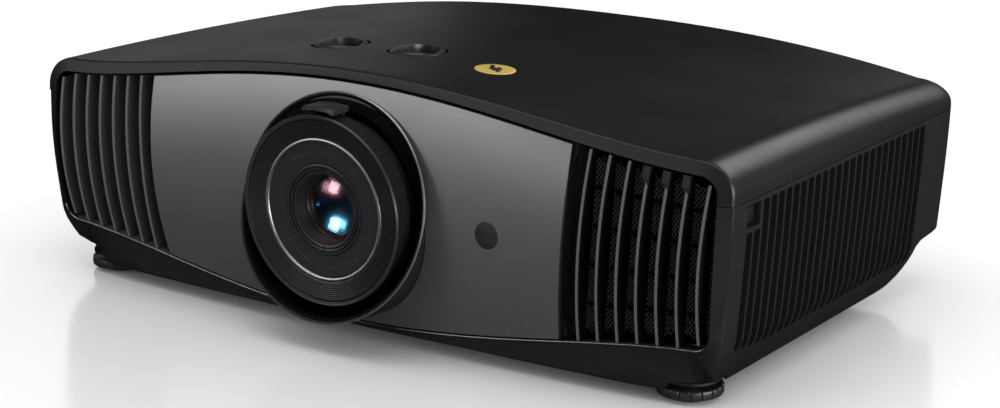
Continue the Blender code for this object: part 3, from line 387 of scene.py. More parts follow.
def bake(obj, smooth):
    """Keeps the result of a piece's modifiers and marks the edges sharper than the angle."""
    bpy.context.view_layer.update()
    shape = obj.evaluated_get(bpy.context.evaluated_depsgraph_get())
    result = bpy.data.meshes.new_from_object(shape)
    obj.modifiers.clear()
    obj.data = result
    result.set_sharp_from_angle(angle=radians(smooth))
    return obj


def flatten(rows):
    return [point for row in rows for point in row]


def thicken(obj, thick, offset=-1.0):
    """Modifier that gives a surface its thickness, inwards unless told otherwise."""
    wall = obj.modifiers.new("wall", "SOLIDIFY")
    wall.thickness = thick
    wall.offset = offset
    return obj


def thin_sheet(name, rows, mat, thick, wrap=False, **more):
    """Thin piece from rows of points; a modifier gives it its thickness."""
    faces = grid_faces(len(rows), len(rows[0]), wrap=wrap)
    return thicken(piece(name, flatten(rows), faces, mat, **more), thick)


def rod(rows):
    """Bar from rings of points along it, with both ends filled."""
    count, verts = len(rows[0]), flatten(rows)
    ends = [tuple(range(count)), tuple(range(len(verts) - count, len(verts)))]
    return verts, grid_faces(len(rows), count, wrap=True) + ends


def skin(name, grid, mat, thick, smooth=35.0, **more):
    """Moulded wall: the grid is its outer surface and the wall grows inwards from it."""
    obj = piece(name, flatten(grid), grid_faces(len(grid), len(grid[0])), mat, **more)
    centre = Vector((0.0, 0.0, 0.075))
    work = bmesh.new()
    work.from_mesh(obj.data)
    outward = sum(f.normal.dot(f.calc_center_median() - centre) * f.calc_area() for f in work.faces)
    if outward < 0:
        bmesh.ops.reverse_faces(work, faces=work.faces)
        work.to_mesh(obj.data)
    work.free()
    return bake(thicken(obj, thick), smooth)


def block(low, high):
    x0, y0, z0 = low
    x1, y1, z1 = high
    verts = [(x, y, z) for x in (x0, x1) for y in (y0, y1) for z in (z0, z1)]
    return verts, [(0, 1, 3, 2), (4, 6, 7, 5), (0, 4, 5, 1), (2, 3, 7, 6), (0, 2, 6, 4), (1, 5, 7, 3)]


def gather(shapes):
    verts, faces = [], []
    for more_verts, more_faces in shapes:
        start = len(verts)
        verts += more_verts
        faces += [tuple(start + i for i in f) for f in more_faces]
    return verts, faces


def ring_faces(rows, cols):
    """Faces of a grid that closes both ways, as in a turned ring."""
    faces = []
    for k in range(rows):
        for s in range(cols):
            t, n = (s + 1) % cols, (k + 1) % rows
            faces.append((k * cols + s, n * cols + s, n * cols + t, k * cols + t))
    return faces


def lathe(profile, centre, axis="Y", count=160, ripple=None):
    """Closed profile of (radius, along) turned about an axis through centre."""
    verts = []
    for k, (radius, along) in enumerate(profile):
        for s in range(count):
            ang = 2 * pi * s / count
            r = max(radius + (ripple(k, s) if ripple else 0.0), 0.0)
            a, b = r * cos(ang), r * sin(ang)
            offset = (a, along, b) if axis == "Y" else (a, b, along)
            verts.append(tuple(c + d for c, d in zip(centre, offset)))
    return verts, ring_faces(len(profile), count)


def cut_by(obj, verts, faces, name):
    """Cuts closed shapes out of a piece once and keeps the result."""
    mesh = new_mesh(name, verts, faces)
    face_outwards(mesh)
    tool = place(name, mesh)
    mod = obj.modifiers.new("cut", "BOOLEAN")
    mod.operation = "DIFFERENCE"
    mod.solver = "EXACT"
    mod.object = tool
    bake(obj, 32.0)
    bpy.data.objects.remove(tool, do_unlink=True)


# ---------------------------------------------------------------- roof shells
def roof_columns():
    cols = [("side", v / 10) for v in range(0, 5, 1)]
    cols += [("corner", radians(a)) for a in steps(0.0, 90.0, 18)]
    cols += [("roof", x) for x in steps(0.222, 0.0, 37)]
    return cols


def corner_point(col, low, edge_x, radius, start, rise):
    """Point on the side wall or the rounded corner of a section through the roof."""
    kind, value = col
    if kind == "side":
        return edge_x + radius, low + (start - low) * value * 2
    return edge_x + radius * cos(value), start + rise * sin(value)


def roof_point(col, y, low):
    if col[0] == "roof":
        return col[1], roof_z(col[1], y)
    edge_x = HALF_WIDTH - ROUND_X
    top = roof_z(edge_x, y)
    start = low + 0.18 * (top - low)
    return corner_point(col, low, edge_x, ROUND_X, start, top - start)


def frame_point(col, low):
    if col[0] == "roof":
        return col[1], open_top(col[1])
    mid_x = OPEN_HALF - TOP_CORNER
    return corner_point(col, low, mid_x, TOP_CORNER, open_top(mid_x) - TOP_CORNER, TOP_CORNER)


def both_sides(half):
    return [(-x, y, z) for x, y, z in half] + half[-2::-1]


def roof_row(cols, y, low):
    return both_sides([(x, y, z) for x, z in (roof_point(c, y, low) for c in cols)])


BAND_STEPS = ((0.0016, 0.0012), (0.0018, 0.0006), (0.0023, 0.0002), (0.0034, 0.0), (0.0058, -0.0001))


def roof_front():
    low = PART_Z + HAIRLINE
    cols = roof_columns()
    rows = []
    half = []
    for col in cols:
        x, z = frame_point(col, low)
        half.append((x, front_y(x) - swell(x, z, POST_BULGE) + 0.0022, z + 0.0002))
    rows.append(both_sides(half))
    rows.append([(x, y - 0.0022, z - 0.0002) for x, y, z in rows[0]])
    for dy, inset in BAND_STEPS:
        half = []
        for col in cols:
            x, z = roof_point(col, -0.135, low)
            fx, fz = frame_point(col, low)
            share = inset / max(hypot(x - fx, z - fz), 0.003)
            x, z = x + (fx - x) * share, z + (fz - z) * share
            fade = max(0.0, 1 - (dy - 0.0016) / 0.0042)
            half.append((x, front_y(x) - swell(fx, fz, POST_BULGE) * fade + dy, z))
        rows.append(both_sides(half))
    for y in (-0.12, -0.105, -0.09, *steps(-0.075, SEAM_Y - HAIRLINE, 12)):
        rows.append(roof_row(cols, y, low))
    return skin("roof_shell_front", rows, MAT["cover"], 0.0024, replaces=("top_cover_front",),
                slot="black_plastic", smooth=28.0)


def roof_rear():
    low = PART_Z + HAIRLINE
    cols = roof_columns()
    rows = []
    for y in steps(SEAM_Y + HAIRLINE, REAR_Y - REAR_ROUND, 9):
        rows.append(roof_row(cols, y, low))
    for deg in (10, 20, 30, 38, 45, 51, 56, 61, 66, 70, 74, 78, 82, 86, 90):
        ang = radians(deg)
        y = REAR_Y - REAR_ROUND * (1 - sin(ang))
        shrink = 1 - REAR_ROUND * (1 - cos(ang)) / HALF_WIDTH
        s = min(max(y - (REAR_Y - REAR_EDGE_R), 0.0) / REAR_EDGE_R, 1.0)
        keep = 1 - REAR_EDGE_R * (1 - sqrt(1 - s * s)) / (roof_z(0.0, y) - low)
        pts = (roof_point(c, y, low) for c in cols)
        rows.append(both_sides([(x * shrink, y, low + (z - low) * keep) for x, z in pts]))
    for share in (0.8, REAR_WRAP):
        inward = 0.994 if share == REAR_WRAP else 0.998
        rows.append([(x * (inward if abs(x) > 0.2 else 1.0), y, low + (z - low) * share)
                     for x, y, z in rows[-1 if share == 0.8 else -2]])
    return skin("roof_shell_rear", rows, MAT["cover"], 0.0024, replaces=("top_cover_rear",),
                slot="black_plastic", smooth=40.0)


def seam_backings():
    """Near-black strips behind the seams of the case: painted shade in the seam gaps, so that nothing shows
    through them.
    """
    cols = roof_columns()
    rows = []
    for y in (SEAM_Y - 0.004, SEAM_Y + 0.004):
        rows.append(both_sides([(x - (0.003 if x > 0.2 else 0.0), y, z - (0.003 if x < 0.24 else 0.0))
                                for x, z in (roof_point(c, y, PART_Z) for c in cols)]))
    thin_sheet("seam_strip_roof", rows, MAT["painted_shade"], BACKING)
    path = [(0.237, 0.0026), (0.2385, 0.0028), (0.2405, 0.0034), (0.2425, 0.0052), (0.244, 0.009)]
    path = [(x, front_y(x) + back) for x, back in path]
    path += [(0.2442, y) for y in (-0.1, 0.0, 0.1, 0.14)]
    path += [(0.2425, 0.15), (0.238, 0.157), (0.23, 0.161)]
    for side, tag in SIDES:
        rows = [[(side * x, y, z) for x, y in path] for z in (PART_Z - 0.005, PART_Z + 0.005)]
        thin_sheet("seam_strip_" + tag, rows, MAT["painted_shade"], BACKING)


# ---------------------------------------------------------------- shift dials and emblem
DIALS = {"shift_dial_horizontal": ("dial_horizontal", -0.0612),
         "shift_dial_vertical": ("dial_vertical", -0.003)}
DIAL_Y, DIAL_R, POCKET_R = -0.0645, 0.017, 0.0184
SCOOP = (0.0054, -0.0002)    # centre of the finger scoop from the dial's own centre
EMBLEM = (0.0597, -0.074, 0.0121)


def dial(name, body, x):
    """Shift dial: raised rim, domed grip and a deep finger scoop."""
    top = roof_z(x, DIAL_Y)
    scoop_at = (x + SCOOP[0], DIAL_Y + SCOOP[1], top)
    profile = [(0.0, -0.0032), (DIAL_R, -0.0032), (DIAL_R, -0.0002), (DIAL_R - 0.0003, 0.0004),
               (DIAL_R - 0.0008, 0.0006), (DIAL_R - 0.0019, 0.0005), (DIAL_R - 0.0022, 0.0002),
               (0.0146, 0.0002)]
    for k in range(1, 13):
        r = 0.0144 * cos(radians(7.5 * k))
        profile.append((r, 0.0003 + 0.0027 * sin(radians(7.5 * k))))
    verts, faces = lathe(profile, (x, DIAL_Y, top), "Z", 120)
    obj = piece(name + "_knob", verts, faces, MAT["dial"], replaces=(name,), body=body)
    scoop = lathe([(0.0, -0.0024), (0.0088, -0.0024), (0.0098, 0.008), (0.0, 0.008)], scoop_at, "Z", 90)
    cut_by(obj, *scoop, name + "_scoop")
    soften(obj, 0.00025)
    # The scoop floor and the well below the dial are near-black pieces of painted shade.
    floor = lathe([(0.0, -0.0022), (0.0086, -0.0022), (0.0086, -0.0017), (0.0, -0.0017)], scoop_at, "Z", 60)
    piece(name + "_scoop_floor", *floor, MAT["painted_shade"], body=body)
    rib = block((x + 0.0112, DIAL_Y - 0.005, top - 0.0018), (x + 0.0117, DIAL_Y + 0.0046, top - 0.0006))
    piece(name + "_scoop_rib", *rib, MAT["dial"], body=body)
    well = lathe([(0.0, -0.006), (0.0196, -0.006), (0.0196, -0.0026), (POCKET_R, -0.0026),
                  (POCKET_R, -0.005), (0.0, -0.005)], (x, DIAL_Y, top), "Z", 90)
    piece(name + "_well", *well, MAT["painted_shade"])


def soften(obj, width, segments=2, angle=32.0):
    mod = obj.modifiers.new("soft_edges", "BEVEL")
    mod.width = width
    mod.segments = segments
    mod.limit_method = "ANGLE"
    mod.angle_limit = radians(angle)


def roof_pockets(cover):
    """Round holes in the roof for the dials and the emblem."""
    shapes = []
    rounds = [(x, DIAL_Y, POCKET_R) for _, x in DIALS.values()] + [(*EMBLEM[:2], EMBLEM[2] + 0.0002)]
    for x, y, r in rounds:
        plug = [(0.0, -0.02), (r, -0.02), (r, 0.01), (0.0, 0.01)]
        shapes.append(lathe(plug, (x, y, roof_z(x, y)), "Z", 90))
    cut_by(cover, *gather(shapes), "pockets")


def emblem():
    """Flat foil disc with a plain mark of three strokes, following the roof."""
    x0, y0, radius = EMBLEM

    def on_roof(x, y, lift):
        return x, y, roof_z(x, y) + lift

    rows = [[on_roof(x0 + r * cos(a), y0 + r * sin(a), 0.0001) for a in circle(72)]
            for r in steps(0.0, radius, 6)]
    thin_sheet("emblem_foil", rows, MAT["gold"], 0.0004, wrap=True, replaces=("emblem_disc",))
    strokes = ((-0.0022, 0.0012, 0.0078, -50.0), (0.0026, -0.0004, 0.0066, -62.0),
               (0.0002, 0.0004, 0.005, 20.0))
    for k, (cx, cy, length, turn) in enumerate(strokes):
        a = radians(turn)
        verts = []
        for u, v in ((-1, -1), (1, -1), (1, 1), (-1, 1)):
            du, dv = u * length * 0.75, v * 0.0012
            verts.append(on_roof(x0 + cx + du * cos(a) - dv * sin(a),
                                 y0 + cy + du * sin(a) + dv * cos(a), 0.00055))
        thicken(piece("emblem_stroke_%d" % k, verts, [(0, 1, 2, 3)], MAT["mark"]), 0.0002)


# ---------------------------------------------------------------- front panel
NECK_R, NECK_TOP = 0.06, 0.065
NECK_Z = LENS_Z - 0.0078     # the neck of the lens surround sits a little below the lens axis
PANEL_LOW, PANEL_HIGH = 0.001, 0.0016     # gaps under and over the panel


def neck_point(ang, inset):
    tall = NECK_TOP if sin(ang) > 0 else NECK_R
    return (NECK_R - inset) * cos(ang), NECK_Z + (tall - inset) * sin(ang)


def panel_edge(s):
    """Half width of the panel at the share s of its height."""
    return 0.1511 - 0.007 * (1 - s) ** 2


def panel_outline(ang, gap):
    """Where the ray from the neck centre at this angle meets the panel outline."""
    near, far = 0.0, 0.2
    for _ in range(26):
        mid = (near + far) / 2
        x, z = mid * cos(ang), NECK_Z + mid * sin(ang)
        lo, hi = open_bottom(x) + PANEL_LOW + gap, open_top(x) - PANEL_HIGH - gap
        s = min(max((z - lo) / (hi - lo), 0.0), 1.0)
        if lo < z < hi and abs(x) < panel_edge(s) - gap:
            near = mid
        else:
            far = mid
    return near * cos(ang), NECK_Z + near * sin(ang)


def panel_rows(angles, shares, inner, outer, back):
    """Loops of panel points from round the neck out to the outline."""
    rows = []
    for t in shares:
        row = []
        for ang in angles:
            x0, z0 = neck_point(ang, inner)
            x1, z1 = panel_outline(ang, outer)
            x, z = x0 + (x1 - x0) * t, z0 + (z1 - z0) * t
            row.append((x, panel_y(x, z) + back, z))
        rows.append(row)
    return rows


def front_panel():
    corners = []
    for sx in (-1, 1):
        for s in (0.0, 1.0):
            x = panel_edge(s)
            z = opening_z(x, s, PANEL_LOW, PANEL_HIGH)
            corners.append(atan2(z - NECK_Z, sx * x) % (2 * pi))
    angles = sorted({*circle(240), *corners})
    rows = panel_rows(angles, (*steps(0.0, 0.96, 20), 0.975, 0.99, 1.0), -0.0002, 0.0004, 0.0)
    edge = []
    for ang in angles:
        x, z = panel_outline(ang, 0.0)
        edge.append((x, panel_y(x, z) + 0.0005, z))
    rows.append(edge)
    rows.append([(x, y + 0.0022, z) for x, y, z in edge])
    faces = grid_faces(len(rows), len(angles), wrap=True)
    rim = len(faces) - 2 * len(angles)
    obj = piece("panel_plate", flatten(rows), faces, (MAT["panel"], MAT["collar"]), slot="panel_grey",
                replaces=("front_panel",), tags=[0 if k < rim else 1 for k in range(len(faces))])
    bake(thicken(obj, 0.0012, 1.0 if obj.data.polygons[0].normal.y > 0 else -1.0), 24.0)
    # Near-black sheet behind the panel: painted shade in the gaps round it.
    rows = panel_rows(angles, (0.0, 0.5, 1.0), -0.0001, -0.004, 0.0034)
    thin_sheet("panel_backing", rows, MAT["painted_shade"], BACKING, wrap=True)


# ---------------------------------------------------------------- grilles
BLADE_COUNT, BLADE_W = 7, 0.0023
HOODED = (1, 2, 3)           # louvres with a small hood at the top, on the right
LINER_X = (0.144, 0.2372)   # inner and outer edge of the grille opening
# depths behind the front curve by side; the right grille is shallow and shows its dust screen
BLADE_DEEP, BARS_DEEP = {1: 0.0048, -1: 0.015}, {1: 0.005, -1: 0.0152}
SCREEN_DEEP, LINER_DEEP = {1: 0.0058, -1: 0.0163}, {1: 0.0085, -1: 0.019}


def blade_x(k, s):
    top = 0.2335 - k * 0.0118
    low = 0.2289 - k * 0.0122
    return low + (top - low) * s


def blade_shape(side, k):
    """One louvre with a slim chamfer each side of its front face."""
    low, high = (0.0034, 0.0044) if k == 0 else (0.0008, 0.0014)
    half, slim = BLADE_W / 2, BLADE_W / 2 - 0.0003
    rows = []
    for s in steps(0.0, 1.0, 30):
        x = blade_x(k, s)
        z = opening_z(x, s, low, high)
        y = front_y(x) + 0.0006 - BLADE_BULGE * 4 * s * (1 - s)
        deep = front_y(x) + BLADE_DEEP[side]
        chamfer = y + 0.0004
        section = ((-half, deep), (-half, chamfer), (-slim, y), (slim, y), (half, chamfer), (half, deep))
        rows.append([(side * (x + dx), at, z) for dx, at in section])
    return rod(rows)


def front_tags(faces):
    """Tag 1 for the front faces of the louvres: the third side of each ring of six points."""
    return [1 if len(face) == 4 and face[0] % 6 == 2 else 0 for face in faces]


def hood_shape(k):
    """Small cowl on the lens side of a louvre's upper end, rounded below."""
    start = 0.905
    rows = []
    for s in steps(start, 1.0, 8):
        x = blade_x(k, s)
        y = front_y(x)
        front = y - BLADE_BULGE * 4 * s * (1 - s)
        z = opening_z(x, s, 0.0008, 0.0014)
        reach = 0.0042 * min(1.0, sqrt(max((s - start) / 0.035, 0.02)))
        rows.append([(x + 0.001, front - 0.0004, z), (x + 0.001, front + 0.0045, z),
                     (x - reach, front + 0.0045, z), (x - reach, front + 0.0014, z)])
    return rod(rows)


def screen_wires(side):
    """Diamond dust screen: two sets of fine slanted wires."""
    shapes = []
    for lean in (-1.0, 1.0):
        for c in steps(-0.115, 0.155, 92):
            run = []
            for x in steps(0.154, 0.237, 24):
                z = c + lean * 1.25 * (x - 0.195) + 0.055
                if open_bottom(x) + 0.0045 < z < open_top(x) - 0.005:
                    run.append((side * x, front_y(x) + SCREEN_DEEP[side], z))
            if len(run) > 1:
                shapes.append(wire(run[0], run[-1], 0.0002))
    return gather(shapes)


def wire(a, b, half):
    tall = half * 1.4
    return rod([[(x, y - half, z), (x, y, z + tall), (x, y + half, z), (x, y, z - tall)]
                for x, y, z in (a, b)])


def window_bars(side):
    """Filter frame in front of the screen: short cross bars and an upright strip by each louvre."""
    front = BARS_DEEP[side]
    shapes = []
    for k in range(BLADE_COUNT):
        for s in (0.19, 0.39, 0.59, 0.79):
            x = blade_x(k, s) - 0.01
            z = opening_z(x, s)
            y = front_y(x) + front
            left = x if side > 0 else -x - 0.01
            shapes.append(block((left, y, z - 0.0014), (left + 0.01, y + 0.0007, z + 0.0014)))
    for k in range(BLADE_COUNT):
        rows = []
        for s in steps(0.03, 0.97, 14):
            x = blade_x(k, s)
            z = opening_z(x, s)
            y = front_y(x) + front
            rows.append([(side * (x - 0.001), y - 0.0008, z), (side * (x + 0.001), y + 0.0007, z),
                         (side * (x - 0.0036), y + 0.0007, z)])
        shapes.append(rod(rows))
    return gather(shapes)


def grille(side):
    """Louvres, dust screen and filter frame of one end of the front, with the walls round them."""
    tag = "right" if side > 0 else "left"
    verts, faces = gather([blade_shape(side, k) for k in range(BLADE_COUNT)])
    # The louvres' front faces carry painted reflection in lighter grey; their sides carry painted light on
    # the left grille and painted shade on the right.
    piece("louvres_" + tag, verts, faces, (MAT["painted_shade" if side > 0 else "blade_side"], MAT["blade_face"]),
          replaces=("grille_" + tag,), tags=front_tags(faces), smooth=20.0)
    if side > 0:
        piece("louvre_hoods", *gather([hood_shape(k) for k in HOODED]), MAT["hood"], smooth=50.0)
    piece("dust_screen_" + tag, *screen_wires(side), MAT["screen"], smooth=60.0)
    # The filter bars carry near-black painted shade.
    piece("filter_bars_" + tag, *window_bars(side), MAT["painted_shade"], replaces=("filter_frame_" + tag,))
    # The liner behind the dust screen is a near-black sheet of painted shade.
    rows = [[(side * x, front_y(x) + LINER_DEEP[side], opening_z(x, s, 0.0012, 0.0014))
             for x in steps(*LINER_X, 8)] for s in steps(0.0, 1.0, 8)]
    thin_sheet("screen_liner_" + tag, rows, MAT["painted_shade"], 0.0006)
    # The sill carries mid grey painted light on the left and plain filter black on the right.
    rows = [[(side * x, front_y(x) + back, open_bottom(x) + 0.0005) for x in steps(*LINER_X, 24)]
            for back in (0.001, LINER_DEEP[side] + 0.0002)]
    thin_sheet("grille_sill_" + tag, rows, MAT["filter" if side > 0 else "blade_side"], BACKING)
    rows = []
    for s in steps(0.0, 1.0, 24):
        row = []
        for inset, depth in ((0.0012, 0.0024), (-0.0026, 0.0032), (-0.0068, 0.007), (-0.008, 0.016)):
            x = panel_edge(s) - inset
            z = opening_z(x, s, 0.0006, 0.0012)
            row.append((side * x, front_y(x) + depth - swell(x, z, 0.005), z))
        rows.append(row)
    thin_sheet("grille_flange_" + tag, rows, MAT["filter"], 0.0006)


# ---------------------------------------------------------------- case sides
# height of the underside along the case: level, a short steep wall, then the rear overhang
UNDER = ((-0.09, BASE_Z), (0.098, BASE_Z), (0.106, 0.0096), (0.112, 0.016), (0.115, 0.025),
         (0.118, 0.0345), (0.123, 0.0372), (0.139, 0.0386), (0.153, 0.04), (0.1618, 0.0416),
         (REAR_Y, 0.044))


def under_z(y):
    for (y0, z0), (y1, z1) in zip(UNDER, UNDER[1:]):
        if y <= y1:
            return z0 + (z1 - z0) * max((y - y0) / (y1 - y0), 0.0)
    return UNDER[-1][1]


SEAM_X = 0.2222
LOW_ANGLES = (0.0, 15.0, 30.0, 45.0, 60.0, 75.0, 90.0)
LEVELS = (0.056, 0.066, 0.076, 0.0866, 0.0966, 0.1066)
LOW_CORNER = 0.011


def side_grid():
    """Outer skin of the right-hand side of the lower case, fine enough to look moulded."""
    top = PART_Z - HAIRLINE
    mid = post_edge(0.047) - LOW_CORNER
    cz = open_bottom(mid) + LOW_CORNER
    opening, outward = [(SEAM_X, open_bottom(SEAM_X))], [(0.0, -1.0)]
    for deg in LOW_ANGLES:
        ang = radians(deg)
        opening.append((mid + LOW_CORNER * sin(ang), cz - LOW_CORNER * cos(ang)))
        outward.append((sin(ang), -cos(ang)))
    for z in (*LEVELS, top):
        opening.append((post_edge(z), z))
        outward.append((1.0, 0.0))
    widths = [0.0022, 0.0024, 0.0031, 0.004, 0.0049, 0.0056, 0.0059, 0.0059,
              0.0061, 0.0065, 0.0069, 0.0072, 0.0074, 0.0075, 0.0076]
    first, second, lip = [], [], []
    for (x, z), (nx, nz), w in zip(opening, outward, widths):
        first.append((x, front_y(x) - swell(x, z, POST_BULGE), z))
        lip.append((x, front_y(x) - swell(x, z, POST_BULGE) + 0.0025, z))
        x2, z2 = x + nx * w, z + nz * w
        second.append((x2, front_y(x2) - 0.5 * swell(x2, z, POST_BULGE) + 0.0018, z2))
    levels = (0.0123, 0.0165, 0.0215, 0.0265, 0.0322, 0.038)
    depth = (-0.1098, -0.113, -0.1163, -0.1195, -0.1221, -0.1243)
    third = [(SEAM_X, base_front_y(SEAM_X), BASE_Z), (side_x(BASE_Z), -0.1065, BASE_Z)]
    third += [(side_x(z), y, z) for z, y in zip(levels, depth)]
    third += [(side_x(z), front_y(HALF_WIDTH) + 0.0052, z) for z in (*LEVELS, top)]
    rows = [lip, first, second]
    for t in (0.25, 0.5, 0.75):
        row = []
        for k, (a, b) in enumerate(zip(second, third)):
            curved = min(k / 3, 1.0)
            ease = t + (sin(t * pi / 2) - t) * curved
            back = t + (1 - cos(t * pi / 2) - t) * curved
            row.append(tuple(p + (q - p) * r for p, q, r in zip(a, b, (ease, back, ease))))
        rows.append(row)
    rows.append(third)
    ys = [-0.0835, *steps(-0.07, 0.09, 16), 0.098, 0.102, 0.106, 0.109, 0.112, 0.1135,
          0.115, 0.1165, 0.118, 0.1205, 0.123, 0.131, 0.139, 0.145, 0.149, 0.153, 0.156, 0.159,
          0.1618, 0.1635, 0.1645, REAR_Y]
    for y in ys:
        low = under_z(y)
        inset = rear_inset(y)
        ratio = (low - BASE_Z) / 0.036
        line = [(side_x(low) - inset - 0.0045, y, low), (side_x(low) - inset, y, low)]
        for z in levels:
            zz = z + (low - BASE_Z) * (1 - (z - BASE_Z) / 0.06)
            line.append((side_x(zz) - inset, y, zz))
        for z in (*LEVELS, top):
            zz = max(z, z * (1 - ratio) + (low + 0.026 + (z - 0.056) * 0.7) * ratio)
            line.append((side_x(min(zz, top)) - inset, y, min(zz, top)))
        if y == ys[0]:
            rows += [[tuple(a + (b - a) * t for a, b in zip(p, q)) for p, q in zip(third, line)]
                     for t in (0.25, 0.5, 0.75)]
        rows.append(line)
    return rows


SLOT_PITCH, SLOT_FIRST, SLOT_W, SLOT_TOP = 0.0086, -0.092, 0.0066, 0.1138
KEY_Y, KEY_Z = 0.092, 0.08
FOOT_X, FOOT_Y, FOOT_R, WELL_R = 0.2118, -0.1071, 0.0186, 0.0195


def foot_well(side, count):
    """Cutter for the recess above a front foot."""
    plug = [(0.0, -0.005), (WELL_R, -0.005), (WELL_R, 0.0125), (0.0, 0.0125)]
    return lathe(plug, (side * FOOT_X, FOOT_Y, 0.0), "Z", count)


def slot_low(y):
    return 0.0276 + 0.0045 * min(max((-0.075 - y) / 0.035, 0.0), 1.0)


def slot_cutter(side, y, low, high, radius=0.0012):
    """Block through the wall with rounded ends in the side view."""
    half = SLOT_W / 2
    outline = []
    for cy, cz, start in ((half - radius, high - radius, 0), (-half + radius, high - radius, 90),
                          (-half + radius, low + radius, 180), (half - radius, low + radius, 270)):
        for deg in (0, 30, 60, 90):
            ang = radians(start + deg)
            outline.append((y + cy + radius * cos(ang), cz + radius * sin(ang)))
    count = len(outline)
    verts = [(side * x, a, b) for x in (0.205, 0.262) for a, b in outline]
    faces = [tuple(range(count)), tuple(range(count, 2 * count))]
    faces += [(k, (k + 1) % count, count + (k + 1) % count, count + k) for k in range(count)]
    return verts, faces


def side_panel(side):
    tag = "right" if side > 0 else "left"
    rows = [[(side * x, y, z) for x, y, z in row] for row in side_grid()]
    wall = skin("side_wall_" + tag, rows, MAT["case"], 0.0022, replaces=("side_panel_" + tag,),
                slot="black_plastic", smooth=30.0)
    shapes = []
    for k in range(24 if side > 0 else 15):
        y = SLOT_FIRST + k * SLOT_PITCH
        shapes.append(slot_cutter(side, y, slot_low(y), SLOT_TOP))
    if side > 0:
        for k in (1, 2):
            y = SLOT_FIRST - k * SLOT_PITCH
            shapes.append(slot_cutter(side, y, slot_low(y), 0.0985))
        shapes.append(block((0.2437, -0.113, 0.1012), (0.262, -0.0985, SLOT_TOP)))
    else:
        shapes.append(block((-0.262, KEY_Y - 0.0304, KEY_Z - 0.0204),
                            (-0.21, KEY_Y + 0.0304, KEY_Z + 0.0204)))
    shapes.append(foot_well(side, 48))
    cut_by(wall, *gather(shapes), "slots")
    rows = []
    # Near-black liner behind the side slots: painted shade inside the slots.
    last = 0.14 if side > 0 else 0.05
    for s in steps(0.0, 1.0, 16):
        row = []
        for y in steps(-0.106, last, 24):
            low = max(0.024, under_z(y) + 0.003)
            z = low + (0.115 - low) * s
            row.append((side * (side_x(z) - 0.009), y, z))
        rows.append(row)
    thin_sheet("slot_liner_" + tag, rows, MAT["painted_shade"], 0.0005)


# ---------------------------------------------------------------- lens and its surround
LIP_Y, FOCUS_R = -0.1633, 0.0558
RIM_R, RIM_Y, RIM_TILT = 0.0659, -0.1545, radians(13.4)
LENS_AT = (0.0, 0.0, LENS_Z)


def turned(name, profile, mat, count=160, ripple=None, **more):
    return piece(name, *lathe(profile, LENS_AT, "Y", count, ripple), mat, **more)


def element(rim, centre, curve, middle, edge):
    """Profile of a lens element: a spherical front, and its thickness in the middle and at the edge."""
    front = [(r, centre + copysign(sqrt(curve * curve - r * r), curve)) for r in steps(rim, 0.0, 24)]
    return [*front, (0.0, front[-1][1] + middle), (rim, front[0][1] + edge)]


